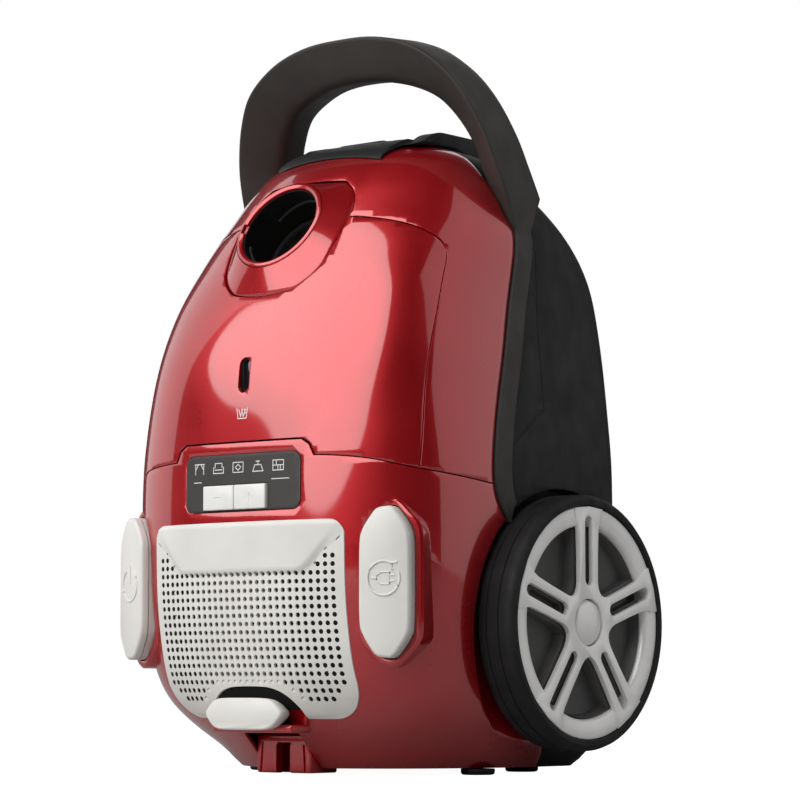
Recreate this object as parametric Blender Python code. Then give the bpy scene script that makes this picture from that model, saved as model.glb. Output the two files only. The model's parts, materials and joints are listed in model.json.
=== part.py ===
"""Canister vacuum cleaner standing upright in its parked position.

Frame: +Z up, front (lid, control panel, exhaust grille) towards -Y, underside with wheels and
caster towards +Y. The origin is the centre of the overall box on the floor plane.
Lengths in the tables below are in millimetres; every mesh is written in metres.
"""

import math

import bmesh
import bpy
from mathutils import Matrix, Vector

MM = 0.001

# ---- driving dimensions (mm, before the shift that centres the overall box) ----
WALL = 3.0                 # moulded shell thickness
GAP = 0.4                  # air between touching pieces
SEAM = 0.6                 # visible seam between shells

WHEEL_X = 141.0            # outer face of a main wheel
WHEEL_Y = 65.3
WHEEL_Z = 88.7
TYRE_R = 75.0
TYRE_WIDTH = 28.0
RIM_R = 70.0
HUB_R = 17.0
PIN_R = 0.8                # lid hinge pins
WELL_R = 79.0
WELL_X = 106.0             # floor of the wheel well
AXLE_R = 6.0

GRILLE_FRONT = -88.4       # most forward point of the machine
BACK_LIMIT = WHEEL_Y + TYRE_R
Y_MID = (GRILLE_FRONT + BACK_LIMIT) / 2

INLET_CENTRE = Vector((0, -49.5, 322.0))
INLET_TILT = math.radians(30)       # bore axis above the horizontal
INLET_R = 26.8
COLLAR_R = 30.5

LID_AXIS = (0, -80.9, 185.2)
LID_ARM_X = (15.0, 21.0)   # hinge arms of the lid, either side of the middle
GRILLE_AXIS = (0, -85.9, 144.8)
PEDAL_CENTRE = (100.0, -74.0, 110.0)
PEDAL_ANGLE = math.radians(20)
PANEL_HALF = 45.0
PANEL_Z = (152.6, 185.8)
BUTTON_Z = (153.6, 168.0)
BUTTON_EDGES = (-29.0, -4.4, 20.6)
GRILLE_HALF = 74.0
GRILLE_Z = (33.0, 146.2)
VENT_HALF = 68.0           # opening of the shell behind the exhaust grille
VENT_Z = (46.5, 141.5)
LATCH_HALF = 31.0
LATCH_Z = (26.4, 45.0)
CROWN_HALF = 41.0          # black cover over the top
CROWN_TOP = [(-10, 1.4), (-5, 2.8), (2, 3.2), (9, 3.8), (18, 5.0), (34, 5.0), (49, 5.0), (56, 5.0),
             (64, 5.0), (74, 4.0), (84, 2.6), (90, 1.4)]
RAIL_X = (38.0, 52.0)
RAIL = [(13, 375.6), (23, 379.6), (30, 383.8), (37.5, 385.6), (71, 385.3), (82, 379.8), (91, 362),
        (92, 350), (84, 355), (72, 366), (62, 372.8), (49, 376)]
CASTER_Z = 272.0
CASTER_TRAIL = 8.0
CASTER_R = 14.0
MOTOR = (-44.0, 58.0)
MOTOR_R = 50.0
DRUM_CENTRE = (53.0, 58.0, 92.0)
DRUM_R = 58.0
OUTLET_Z = 58.0            # height of the cord outlet in the back

# ---- outer skin: each curve is (height, value) ----
HALF_WIDTH = [(4, 96), (10, 101), (16, 104.5), (24, 108), (36, 110.5), (49, 113), (66, 115.5),
              (112, 118), (156, 119), (180, 118.8), (217, 115.5), (244, 112.5), (268, 109),
              (285, 106.5), (302, 104.5), (323, 101.5), (339, 94), (354, 85), (365, 76),
              (371, 66), (375, 54)]
FRONT = [(4, -40), (10, -46), (16, -51), (24, -58.5), (36, -68), (49, -74), (66, -78.5),
         (112, -83.5), (156, -84), (180, -83.8), (217, -83.2), (244, -80.5), (268, -73),
         (285, -66), (302, -57), (323, -46), (339, -37.5), (354, -27), (365, -15), (371, -4),
         (375, 8)]
FLANK = [(4, 66), (16, 55), (24, 44), (36, 33), (49, 22), (66, 11), (112, 0), (156, 0),
         (180, 1.5), (217, 10), (244, 19.4), (273, 28.6), (304, 40), (323, 45), (333, 43.5),
         (343, 38), (354, 36), (375, 34)]
SPLIT = [(4, 70), (100, 38), (125, 34), (138, 22), (155, 5), (167, 1), (180, 1.5), (217, 10),
         (244, 19.4), (273, 28.6), (304, 40), (323, 45), (333, 43.5), (343, 38), (354, 36),
         (375, 34)]
ROUNDNESS = [(4, 2), (16, 2), (24, 2.15), (36, 2.8), (49, 3.1), (180, 3.15), (268, 3.1),
             (285, 3.0), (302, 2.7), (323, 2.4), (339, 2.0), (375, 2.0)]
BACK = [(4, 118), (10, 124), (20, 129), (40, 131), (250, 131), (280, 130), (294, 128), (307, 121),
        (326, 107), (339, 96), (354, 82), (365, 70), (371, 61), (375, 50)]
BACK_CORNER = 21.0
ROWS = [4, 9, 17, 26.5, 40.5, 59, 86.5, 112, 132, 146, 158.5, 171, 200, 226, 248, 268, 288, 306, 324, 339,
        353, 365, 371, 375]
FRONT_STEPS = 9


def curve(points, z):
    """Value of a monotone cubic curve through (height, value) points."""
    if z <= points[0][0]:
        return points[0][1]
    if z >= points[-1][0]:
        return points[-1][1]
    slopes = [(b[1] - a[1]) / (b[0] - a[0]) for a, b in zip(points, points[1:])]
    k = max(i for i, p in enumerate(points[:-1]) if z >= p[0])

    def tangent(i):
        if i in (0, len(points) - 1) or slopes[i - 1] * slopes[i] <= 0:
            return slopes[min(i, len(slopes) - 1)] if i in (0, len(points) - 1) else 0.0
        return 2 * slopes[i - 1] * slopes[i] / (slopes[i - 1] + slopes[i])

    (z0, v0), (z1, v1) = points[k], points[k + 1]
    h = z1 - z0
    t = (z - z0) / h
    a, b = tangent(k) * h, tangent(k + 1) * h
    return (v0 * (2 * t**3 - 3 * t**2 + 1) + a * (t**3 - 2 * t**2 + t)
            + v1 * (3 * t**2 - 2 * t**3) + b * (t**3 - t**2))


def front_y(x, z, inset=0.0):
    """Y of the front skin at x and height z."""
    w = curve(HALF_WIDTH, z) - inset
    flank = curve(FLANK, z)
    depth = flank - curve(FRONT, z) - inset
    n = curve(ROUNDNESS, z)
    ratio = min(abs(x) / w, 1.0)
    return flank - depth * (1 - ratio**n) ** (1 / n)


def front_section(z, inset, rear):
    """Half outline of the front of the machine at height z: (x, y) from the centre out to rear."""
    w = curve(HALF_WIDTH, z) - inset
    flank = curve(FLANK, z)
    depth = flank - curve(FRONT, z) - inset
    n = curve(ROUNDNESS, z)
    half = []
    for i in range(FRONT_STEPS + 1):
        t = math.pi / 2 * i / FRONT_STEPS
        half.append((w * math.sin(t) ** (2 / n), flank - depth * math.cos(t) ** (2 / n)))
    half = [p for p in half if p[1] < rear - 0.5]
    return half + [(front_x(rear, z, inset), rear)]


def front_x(y, z, inset=0.0):
    """Half width of the machine at depth y and height z."""
    w = curve(HALF_WIDTH, z) - inset
    flank = curve(FLANK, z)
    if y >= flank:
        return w
    n = curve(ROUNDNESS, z)
    depth = flank - curve(FRONT, z) - inset
    return w * (1 - min((flank - y) / depth, 1.0) ** n) ** (1 / n)


def back_section(z, inset, rear):
    """Half outline of the rear of the machine at height z, from the split line to the centre."""
    w = curve(HALF_WIDTH, z) - inset
    back = curve(BACK, z) - inset
    r = min(BACK_CORNER, (back - rear) * 0.6)
    half = [(front_x(rear, z, inset), rear)]
    for i in range(6):
        t = math.pi / 2 * i / 5
        half.append((w - r + r * math.cos(t), back - r + r * math.sin(t)))
    return half + [(w / 3, back)]


# ---- helpers ----
MATERIALS = {
    "red": ((0.36, 0.012, 0.02), 0.22, 0.55),
    "black": ((0.022, 0.022, 0.023), 0.5, 0.0),
    "handle": ((0.045, 0.041, 0.037), 0.55, 0.0),
    "light": ((0.66, 0.65, 0.62), 0.4, 0.0),
    "silver": ((0.52, 0.51, 0.49), 0.35, 0.4),
    "panel": ((0.07, 0.065, 0.06), 0.45, 0.0),
    "button": ((0.8, 0.8, 0.78), 0.35, 0.0),
    "rubber": ((0.015, 0.015, 0.016), 0.8, 0.0),
    "steel": ((0.5, 0.5, 0.5), 0.3, 1.0),
    "grey": ((0.28, 0.28, 0.29), 0.5, 0.0),
    "filter": ((0.8, 0.8, 0.76), 0.9, 0.0),
    "bag": ((0.72, 0.68, 0.58), 0.95, 0.0),
    "board": ((0.03, 0.16, 0.07), 0.5, 0.0),
    "copper": ((0.6, 0.3, 0.16), 0.4, 1.0),
    "window": ((0.05, 0.05, 0.05), 0.1, 0.0),
}


def material(name):
    """The named Principled material, made on first use."""
    if name in bpy.data.materials:
        return bpy.data.materials[name]
    colour, roughness, metallic = MATERIALS[name]
    made = bpy.data.materials.new(name)
    made.use_nodes = True
    shader = made.node_tree.nodes["Principled BSDF"]
    shader.inputs["Base Color"].default_value = (*colour, 1)
    shader.inputs["Roughness"].default_value = roughness
    shader.inputs["Metallic"].default_value = metallic
    return made


def add(name, bm, look, pivot=None):
    """Turn bm (in mm) into a named object whose origin is at pivot (in mm)."""
    bmesh.ops.recalc_face_normals(bm, faces=bm.faces)
    origin = Vector(pivot) if pivot else Vector((0, 0, 0))
    bmesh.ops.translate(bm, verts=bm.verts, vec=-origin)
    bmesh.ops.scale(bm, verts=bm.verts, vec=(MM, MM, MM))
    mesh = bpy.data.meshes.new(name)
    bm.to_mesh(mesh)
    bm.free()
    mesh.materials.append(material(look))
    mesh.shade_smooth()
    mesh.set_sharp_from_angle(angle=math.radians(35))
    piece = bpy.data.objects.new(name, mesh)
    piece.location = (origin - Vector((0, Y_MID, 0))) * MM
    bpy.context.collection.objects.link(piece)
    return piece


def skin(rings):
    """Closed solid through rings of equal length."""
    bm = bmesh.new()
    made = [[bm.verts.new(p) for p in ring] for ring in rings]
    for low, high in zip(made, made[1:]):
        for i in range(len(low)):
            j = (i + 1) % len(low)
            bm.faces.new((low[i], low[j], high[j], high[i]))
    bm.faces.new(made[0])
    bm.faces.new(made[-1])
    bmesh.ops.recalc_face_normals(bm, faces=bm.faces)
    return bm


def block(low, high, bevel=0.0):
    """Box between two corners, with optional chamfered edges."""
    (x0, y0, z0), (x1, y1, z1) = low, high
    ring = [(x0, y0), (x1, y0), (x1, y1), (x0, y1)]
    bm = skin([[(x, y, z) for x, y in ring] for z in (z0, z1)])
    if bevel:
        bmesh.ops.bevel(bm, geom=bm.edges, offset=bevel, segments=1, affect="EDGES")
    return bm


def prism(outline, axis, start, end):
    """Outline of two coordinates extruded along axis X, Y or Z."""
    def point(a, b, c):
        return {"X": (c, a, b), "Y": (a, c, b), "Z": (a, b, c)}[axis]
    return skin([[point(a, b, c) for a, b in outline] for c in (start, end)])


def turned(profile, centre, direction, segments=32):
    """Closed (radius, height) profile turned about direction through centre."""
    bm = bmesh.new()
    ring = len(profile)
    rows = []
    for s in range(segments):
        a = 2 * math.pi * s / segments
        rows.append([bm.verts.new((r * math.cos(a), r * math.sin(a), h)) for r, h in profile])
    for s in range(segments):
        here, after = rows[s], rows[(s + 1) % segments]
        for i in range(ring):
            j = (i + 1) % ring
            bm.faces.new((here[i], after[i], after[j], here[j]))
    bmesh.ops.remove_doubles(bm, verts=bm.verts, dist=1e-5)
    turn = Vector((0, 0, 1)).rotation_difference(Vector(direction)).to_matrix().to_4x4()
    bmesh.ops.transform(bm, matrix=Matrix.Translation(centre) @ turn, verts=bm.verts)
    bmesh.ops.recalc_face_normals(bm, faces=bm.faces)
    return bm


def ring_profile(inner, outer, low, high):
    return [(inner, low), (outer, low), (outer, high), (inner, high)]


def disc(radius, centre, direction, low, high, segments=32):
    """Solid cylinder."""
    bm = bmesh.new()
    bmesh.ops.create_cone(bm, cap_ends=True, segments=segments, radius1=radius, radius2=radius,
                          depth=high - low)
    bmesh.ops.translate(bm, verts=bm.verts, vec=(0, 0, (low + high) / 2))
    turn = Vector((0, 0, 1)).rotation_difference(Vector(direction)).to_matrix().to_4x4()
    bmesh.ops.transform(bm, matrix=Matrix.Translation(centre) @ turn, verts=bm.verts)
    return bm


def carve(piece, cutter, operation="DIFFERENCE", solver="EXACT"):
    """Apply a Boolean to piece with a bmesh (in mm) or with another object, which is used up.

    The solver is EXACT; MANIFOLD is passed only at the two steps where EXACT leaves open edges.
    """
    tool = add("cutter", cutter, "grey") if isinstance(cutter, bmesh.types.BMesh) else cutter
    tool.data.materials.clear()
    tool.data.materials.append(piece.data.materials[0])
    step = piece.modifiers.new("cut", "BOOLEAN")
    step.operation = operation
    step.solver = solver
    step.object = tool
    bpy.context.view_layer.update()
    shaped = piece.evaluated_get(bpy.context.evaluated_depsgraph_get())
    mesh = bpy.data.meshes.new_from_object(shaped)
    piece.modifiers.remove(step)
    spent = (piece.data, tool.data)
    piece.data = mesh
    bpy.data.objects.remove(tool)
    for old in spent:
        bpy.data.meshes.remove(old)
    mesh.name = piece.name
    return piece


def mirrored(side, bm):
    """bm as it is for side 1, mirrored in X for side -1."""
    if side < 0:
        bmesh.ops.scale(bm, verts=bm.verts, vec=(-1, 1, 1))
        bmesh.ops.reverse_faces(bm, faces=bm.faces)
    return bm


# ---- shells ----
def body_solid(front, inset, overlap=0.0):
    """Solid front or rear half of the machine, inset from the outer skin."""
    rings = []
    rows = [z for z in ROWS if ROWS[0] + inset < z < ROWS[-1] - inset]
    rows = [ROWS[0] + inset] + rows + [ROWS[-1] - inset]
    for z in rows:
        rear = curve(SPLIT, z)
        half = (front_section(z, inset, rear + overlap) if front
                else back_section(z, inset, rear - overlap))
        ring = [(x, y) for x, y in half] + [(-x, y) for x, y in reversed(half) if x > 0.01]
        rings.append([(x, y, z) for x, y in ring])
    return rings


def even(rings):
    """Rings resampled to one length, so that they can be skinned."""
    count = max(len(ring) for ring in rings)
    out = []
    for ring in rings:
        points = [Vector(p) for p in ring]
        loop = points + [points[0]]
        steps = [(b - a).length for a, b in zip(loop, loop[1:])]
        while len(points) < count:
            k = steps[:len(points)].index(max(steps[:len(points)]))
            loop = points + [points[0]]
            points.insert(k + 1, (loop[k] + loop[k + 1]) / 2)
            loop = points + [points[0]]
            steps = [(b - a).length for a, b in zip(loop, loop[1:])]
        out.append([tuple(p) for p in points])
    return out


def well(side, radius, floor):
    """Cylinder that clears the main wheel on one side."""
    centre = (side * floor, WHEEL_Y, WHEEL_Z)
    return disc(radius, centre, (side, 0, 0), 0, 80, 48)


HANDLE_STATIONS = [
    # x, y, z of the outer front crease and of the inner front edge
    ((0, -2, 443), (0, 14.5, 418)),
    ((28, -1.5, 441.5), (22, 15, 416.5)),
    ((54.7, 0, 434), (42, 19, 411.5)),
    ((76.6, 2.6, 419.3), (58, 23, 403.5)),
    ((90, 9, 401), (69, 28.5, 391)),
    ((99, 17, 378), (77, 34, 375)),
    ((103, 25, 357), (82, 38, 356)),
    ((104.5, 33, 340), (86, 43, 340)),
]
STRIP_ROWS = [322, 306, 285, 260, 235, 210, 185, 168, 158, 151, 146]
STRIP_TIP = 144.0
STRIP_PROUD = 1.6
STRIP_DEEP = 4.5


def handle_rings(grow, front_grow=0.0):
    """Cross-sections of the handle arch and the strips that carry it down the flanks."""
    half = []
    for outer, inner in HANDLE_STATIONS:
        a, b = Vector(outer), Vector(inner)
        out = (a - b).normalized()
        deep_a = a + Vector((0, 37, 3))
        deep_b = b + Vector((1, 25, 3))
        g = grow
        corners = [a + out * g + Vector((0, -g, 0)), b - out * g + Vector((0, -g, 0)),
                   deep_b - out * g + Vector((0, g, 0)), deep_a + out * g + Vector((0, g, 0))]
        half.append(rounded(corners, 0.24))
    for z in STRIP_ROWS:
        y0 = curve(SPLIT, z) + 1.0 - front_grow
        deep = 16 * min((z - STRIP_TIP) / 14, 1)
        y1 = curve(SPLIT, z) + deep + grow
        x1 = curve(HALF_WIDTH, z) + STRIP_PROUD + grow
        x0 = curve(HALF_WIDTH, z) - STRIP_DEEP - grow
        corners = [Vector((x1, y0, z)), Vector((x0, y0, z)), Vector((x0, y1, z)), Vector((x1, y1, z))]
        half.append(rounded(corners, 0.12 if grow == 0 else 0.02))
    left = [[Vector((-p.x, p.y, p.z)) for p in ring] for ring in reversed(half[1:])]
    return [[tuple(p) for p in ring] for ring in left + half]


def rounded(corners, share):
    """Ring of 12 points: each of 4 corners cut by share of its sides and eased once."""
    ring = []
    for i, corner in enumerate(corners):
        before, after = corners[i - 1], corners[(i + 1) % 4]
        start, end = corner.lerp(before, share), corner.lerp(after, share)
        ring += [start, corner.lerp((start + end) / 2, 0.42), end]
    return ring


def plate_rings(half, low, high, corners, outward, inward, columns=14, rows=6):
    """Rings of a plate that follows the front skin, with its lower and upper corner radii.

    outward is how far the plate stands proud of the skin, as a function of x.
    """
    rings = []
    for i in range(columns + 1):
        x = -half * math.cos(math.pi * i / columns) * 0.999
        cuts = []
        for corner in corners:
            over = max(0.0, abs(x) - (half - corner))
            cuts.append(corner - math.sqrt(max(corner**2 - over**2, 0.0)))
        bottom, top = low + cuts[0], high - cuts[1]
        heights = [bottom + (top - bottom) * k / rows for k in range(rows + 1)]
        front = [(x, front_y(x, z) - outward(x), z) for z in heights]
        behind = [(x, front_y(x, z) + inward, z) for z in reversed(heights)]
        rings.append(front + behind)
    return rings


SEAM_LINE = [(-140, 200), (-80, 182.7), (-53, 174.5), (0, 168), (60, 162)]
TAB = [(-56, 150), (-53.5, 183), (-45, 192.3), (45, 192.3), (53.5, 183), (56, 150)]
LID_EDGE = [(-54, 150), (-53, 174), (-43, 232), (-25, 277.7), (-14, 300), (-13, 307), (-16, 313),
            (-24, 320), (-37, 326), (-140, 328), (-140, 150)]
PLATE = [(-21, 281.6), (-29, 285.5), (-35, 291), (-39, 298), (-42, 312), (-43, 330), (-40, 341),
         (-34, 347), (-27, 350.4), (27, 350.4), (34, 347), (40, 341), (43, 330), (42, 312),
         (39, 298), (35, 291), (29, 285.5), (21, 281.6), (0, 279.5)]


def above_seam(shift):
    """Everything above the seam between the lower shell and the lid, with its raised tab."""
    line = [(y, z + shift) for y, z in SEAM_LINE]
    return prism(line + [(60, 500), (-140, 500)], "X", -170, 170)


def lid_region(grow):
    outline = [(y + (grow if y > -100 else 0), z + (grow if z > 300 else 0)) for y, z in LID_EDGE]
    return prism(outline, "X", -170, 170)


def plate_region(grow):
    middle = Vector((0, 316))
    outline = []
    for x, z in PLATE:
        away = (Vector((x, z)) - middle).normalized() * grow
        outline.append((x + away.x, z + away.y))
    return prism(outline, "Y", -140, 25)


def tab_region(grow):
    """The raised tab of the lower shell above the control panel."""
    outline = [(x * (1 + grow / 50), z + grow) for x, z in TAB]
    return prism(outline, "Y", -140, -60)


def red_shell(name):
    """The whole red skin, before it is parted into its mouldings."""
    shell = add(name, skin(even(body_solid(True, 0, -0.3))), "red")
    for side in (1, -1):
        carve(shell, well(side, WELL_R, WELL_X))
    hollow = add("hollow", skin(even(body_solid(True, WALL, 6.0))), "red")
    for side in (1, -1):
        carve(hollow, well(side, WELL_R + WALL, WELL_X - WALL))
    return carve(shell, hollow)


def pedal_outline(grow):
    """Elongated hexagon with blunt ends, half width and half height in the pedal's plane."""
    w, h, cut = 15.4 + grow, 43.0 + grow, 13.0 + grow * 0.5
    blunt = 5.0
    return [(-w, -h + cut + blunt), (-w + 4, -h + cut - 3), (-blunt, -h + 1), (blunt, -h),
            (w - 3, -h + cut - 3), (w, -h + cut + blunt - 2), (w, h - cut - blunt),
            (w - 3, h - cut + 3), (blunt, h), (-blunt, h - 1), (-w + 3, h - cut + 2),
            (-w, h - cut - blunt)]


def pedal_solid(side, grow, front, deep, taper=0.0):
    """Pedal outline extruded inwards along the pedal's own axis."""
    centre = Vector(PEDAL_CENTRE)
    inward = Vector((-math.sin(PEDAL_ANGLE), math.cos(PEDAL_ANGLE), 0))
    across = Vector((math.cos(PEDAL_ANGLE), math.sin(PEDAL_ANGLE), 0))
    rings = []
    steps = [(front, taper), (front + taper, 0.0), (deep, 0.0)] if taper else [(front, 0), (deep, 0)]
    for depth, shrink in steps:
        outline = pedal_outline(grow - shrink)
        rings.append([tuple(centre + across * u + Vector((0, 0, v)) + inward * depth)
                      for u, v in outline])
    return mirrored(side, skin(rings))


def make_shells():
    lower = red_shell("lower_shell")
    carve(lower, above_seam(-SEAM / 2))
    tab = red_shell("tab")
    carve(tab, tab_region(0), "INTERSECT")
    carve(tab, block((-170, -140, 0), (170, 140, 176)))
    carve(lower, tab, "UNION")
    for side in (1, -1):
        boss = add("boss", pedal_solid(side, 5.0, 9.0, 34.0), "red")
        carve(boss, block((-170, -140, 0), (170, -30, 300)), "INTERSECT")
        carve(lower, boss, "UNION")
        carve(lower, pedal_solid(side, 0.8, -5, 60))
    carve(lower, block((-VENT_HALF, -110, VENT_Z[0]), (VENT_HALF, -60, VENT_Z[1])))
    carve(lower, skin(plate_rings(PANEL_HALF + GAP, PANEL_Z[0] - GAP, PANEL_Z[1] + GAP, (6, 6),
                                  lambda x: 6.0, 1.5)))
    carve(lower, block((-38, -110, 155), (38, -60, 182)), solver="MANIFOLD")
    carve(lower, block((-30, -110, 153), (21.6, -60, 170)))
    carve(lower, block((-21.5, -70, -5), (21.5, -20, 24.5)))
    carve(lower, block((-20, -110, 30), (20, -58, 43.5)))
    carve(lower, block((-LATCH_HALF, -74.4, 24.9), (LATCH_HALF, -56, 29.6), 0.8), "UNION")
    low, high = LID_ARM_X
    y, z = LID_AXIS[1:]
    for side in (1, -1):
        near, far = sorted((side * (low - GAP), side * (high + GAP)))
        carve(lower, block((near, y - 1.7, z - 2.2), (far, y + 20, z + 5)))
        carve(lower, disc(PIN_R + 0.3, (side * (low - 2), y, z), (side, 0, 0), 0, 10, 16))

    upper = red_shell("upper_frame")
    carve(upper, above_seam(SEAM / 2), "INTERSECT")
    carve(upper, tab_region(SEAM))
    carve(upper, lid_region(SEAM / 2))
    carve(upper, plate_region(SEAM), solver="MANIFOLD")
    carve(upper, skin(handle_rings(2 * GAP, 1.6)))

    lid = red_shell("lid")
    carve(lid, above_seam(SEAM / 2), "INTERSECT")
    carve(lid, tab_region(SEAM + 0.3))
    carve(lid, lid_region(-SEAM / 2), "INTERSECT")
    carve(lid, plate_region(GAP))
    carve(lid, block((-4.3, -120, 221.6), (4.3, -60, 242.4)))

    plate = red_shell("inlet_plate")
    carve(plate, plate_region(0), "INTERSECT")
    axis = Vector((0, -math.cos(INLET_TILT), math.sin(INLET_TILT)))
    carve(plate, disc(COLLAR_R + GAP, INLET_CENTRE, axis, -40, 40, 40))

    base = add("base_shell", skin(even(body_solid(False, 0))), "black")
    for side in (1, -1):
        carve(base, well(side, WELL_R, WELL_X))
    hollow = add("hollow", skin(even(body_solid(False, WALL, 6.0))), "black")
    for side in (1, -1):
        carve(hollow, well(side, WELL_R + WALL, WELL_X - WALL))
    carve(base, hollow)
    carve(base, skin(handle_rings(GAP, 3.0)))
    carve(base, disc(30 + GAP, (0, 60, CASTER_Z), (0, 1, 0), 0, 120, 40))
    carve(base, disc(9.4, (DRUM_CENTRE[0], 100, OUTLET_Z), (0, 1, 0), 0, 60, 24))
    for side in (1, -1):
        carve(base, disc(AXLE_R + GAP, (side * 90, WHEEL_Y, WHEEL_Z), (side, 0, 0), 0, 30, 24))
    set_origin(lid, LID_AXIS)
    set_origin(plate, LID_AXIS)


def set_origin(piece, pivot):
    """Move the object's origin to pivot (mm) without moving its mesh in space."""
    place = (Vector(pivot) - Vector((0, Y_MID, 0))) * MM
    piece.data.transform(Matrix.Translation(piece.location - place))
    piece.location = place


# ---- lid fittings ----
def make_lid_fittings():
    axis = (0, -math.cos(INLET_TILT), math.sin(INLET_TILT))
    collar = [(INLET_R, -24), (COLLAR_R - 2, -24), (COLLAR_R - 2, -4), (COLLAR_R, -4), (COLLAR_R, 3),
              (COLLAR_R - 1.2, 4.4), (INLET_R + 1, 4.4), (INLET_R, 3.4)]
    add("inlet_collar", turned(collar, INLET_CENTRE, axis, 28), "red", LID_AXIS)
    add("inlet_seal", turned(ring_profile(INLET_R - 3.5, COLLAR_R - 2, -27.4, -24.3), INLET_CENTRE,
                             axis, 28), "rubber", LID_AXIS)
    add("bag_full_window", block((-6, -76.4, 219), (6, -74.8, 245)), "window", LID_AXIS)
    outline = [(0, -1.5), (8, -1.5), (10.5, 1), (10.5, 13), (3.2, 20), (1.9, 18), (8, 12), (8, 2.5),
               (7, 1.5), (0, 1.5), (-1.3, 0.8), (-1.3, -0.8)]
    y, z = LID_AXIS[1:]
    low, high = LID_ARM_X
    for side, word in ((1, "right"), (-1, "left")):
        points = [(a + y, b + z) for a, b in outline]
        arm = add("lid_hinge_" + word, prism(points, "X", side * low, side * high), "black", LID_AXIS)
        hole = disc(PIN_R + 0.1, (side * (low - 5), y, z), (side, 0, 0), 0, 20, 16)
        carve(arm, hole)
        add("lid_hinge_pin_" + word, disc(PIN_R, (side * (low - 1.5), y, z), (side, 0, 0), 0, 9, 16),
            "steel")


# ---- front controls ----
def make_controls():
    panel = add("control_panel", skin(plate_rings(PANEL_HALF, *PANEL_Z, (6, 6), lambda x: 0.3, 1.1)),
                "panel")
    carve(panel, block((BUTTON_EDGES[0] - GAP, -110, BUTTON_Z[0] - GAP),
                       (BUTTON_EDGES[2] + GAP, -60, BUTTON_Z[1] + GAP)))
    carve(panel, block((-60, -90, 100), (60, -81.9, 152.9)))
    add("circuit_board", block((-40, -77.5, 151), (40, -75.9, 182.5)), "board")
    for name, x0, x1 in (("button_minus", BUTTON_EDGES[0], BUTTON_EDGES[1]),
                         ("button_plus", BUTTON_EDGES[1], BUTTON_EDGES[2])):
        centre = ((x0 + x1) / 2, -85, sum(BUTTON_Z) / 2)
        cap = block((x0 + 0.15, -86, BUTTON_Z[0]), (x1 - 0.15, -79.6, BUTTON_Z[1]), 0.5)
        add(name, cap, "button", centre)
    for side, name in ((1, "pedal_rewind"), (-1, "pedal_power")):
        x, y, z = PEDAL_CENTRE
        add(name, pedal_solid(side, 0.0, 0.0, 21.0, 2.0), "light", (side * x, y, z))
    inward = Vector((-math.sin(PEDAL_ANGLE), math.cos(PEDAL_ANGLE), 0))
    switch = Vector(PEDAL_CENTRE) + inward * 34.8
    for side, name in ((-1, "power_switch"), (1, "rewind_brake_lever")):
        x, y, z = switch
        add(name, block((side * x - 8, y - 6, z - 12), (side * x + 8, y + 6, z + 12), 1), "grey")


# ---- exhaust door ----
def make_exhaust():
    def proud(x):
        return 1.0 + 3.4 * (1 - (x / GRILLE_HALF) ** 2)

    rings = []
    for ring in plate_rings(GRILLE_HALF, *GRILLE_Z, (22, 9), proud, 0, 18, 10):
        half = len(ring) // 2
        behind = [(x, y - 2 * GAP, z) for x, y, z in ring[half:]]
        rings.append(ring[:half] + behind)
    door = add("exhaust_grille", skin(rings), "light")
    carve(door, prism(MOUTH, "Y", -120, -40))
    y, z = GRILLE_AXIS[1:]
    carve(door, block((-24.3, y - 0.9, z - 0.9), (24.3, y + 9, z + 0.9)))
    set_origin(door, GRILLE_AXIS)
    add("grille_hinge_pin", disc(0.75, (-24, *GRILLE_AXIS[1:]), (1, 0, 0), 0, 48, 12), "steel")

    outline = [(-LATCH_HALF, 36), (-24, 28.5), (-18, LATCH_Z[0]), (18, LATCH_Z[0]), (24, 28.5),
               (LATCH_HALF, 36), (24, 43), (18, LATCH_Z[1]), (-18, LATCH_Z[1]), (-24, 43)]
    latch = add("grille_latch", prism(outline, "Y", -84, -75), "light", (0, -80, 36))
    carve(latch, block((-14, -76, 32.2), (14, -62, 41)), "UNION")
    add("exhaust_filter", block((-53.5, -61, 54.5), (53.5, -44, 136.5), 1.5), "filter")
    add("filter_frame", frame_block((-56, -63, 52), (56, -42, 139), 2.1), "grey")


MOUTH = [(-35, 20), (-34.5, 36), (-27, 46.5), (-17, 50.5), (0, 51.5), (17, 50.5), (27, 46.5), (34.5, 36),
         (35, 20)]         # recess of the grille around its latch tab


def frame_block(low, high, wall):
    """Rectangular frame open front and back."""
    (x0, y0, z0), (x1, y1, z1) = low, high
    outer = [(x0, z0), (x1, z0), (x1, z1), (x0, z1)]
    inner = [(x0 + wall, z0 + wall), (x1 - wall, z0 + wall), (x1 - wall, z1 - wall),
             (x0 + wall, z1 - wall)]
    bm = bmesh.new()
    rows = [[bm.verts.new((x, y, z)) for x, z in ring]
            for ring, y in ((outer, y0), (outer, y1), (inner, y1), (inner, y0))]
    for a, b in zip(rows, rows[1:] + rows[:1]):
        for i in range(4):
            j = (i + 1) % 4
            bm.faces.new((a[i], a[j], b[j], b[i]))
    return bm


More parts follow.
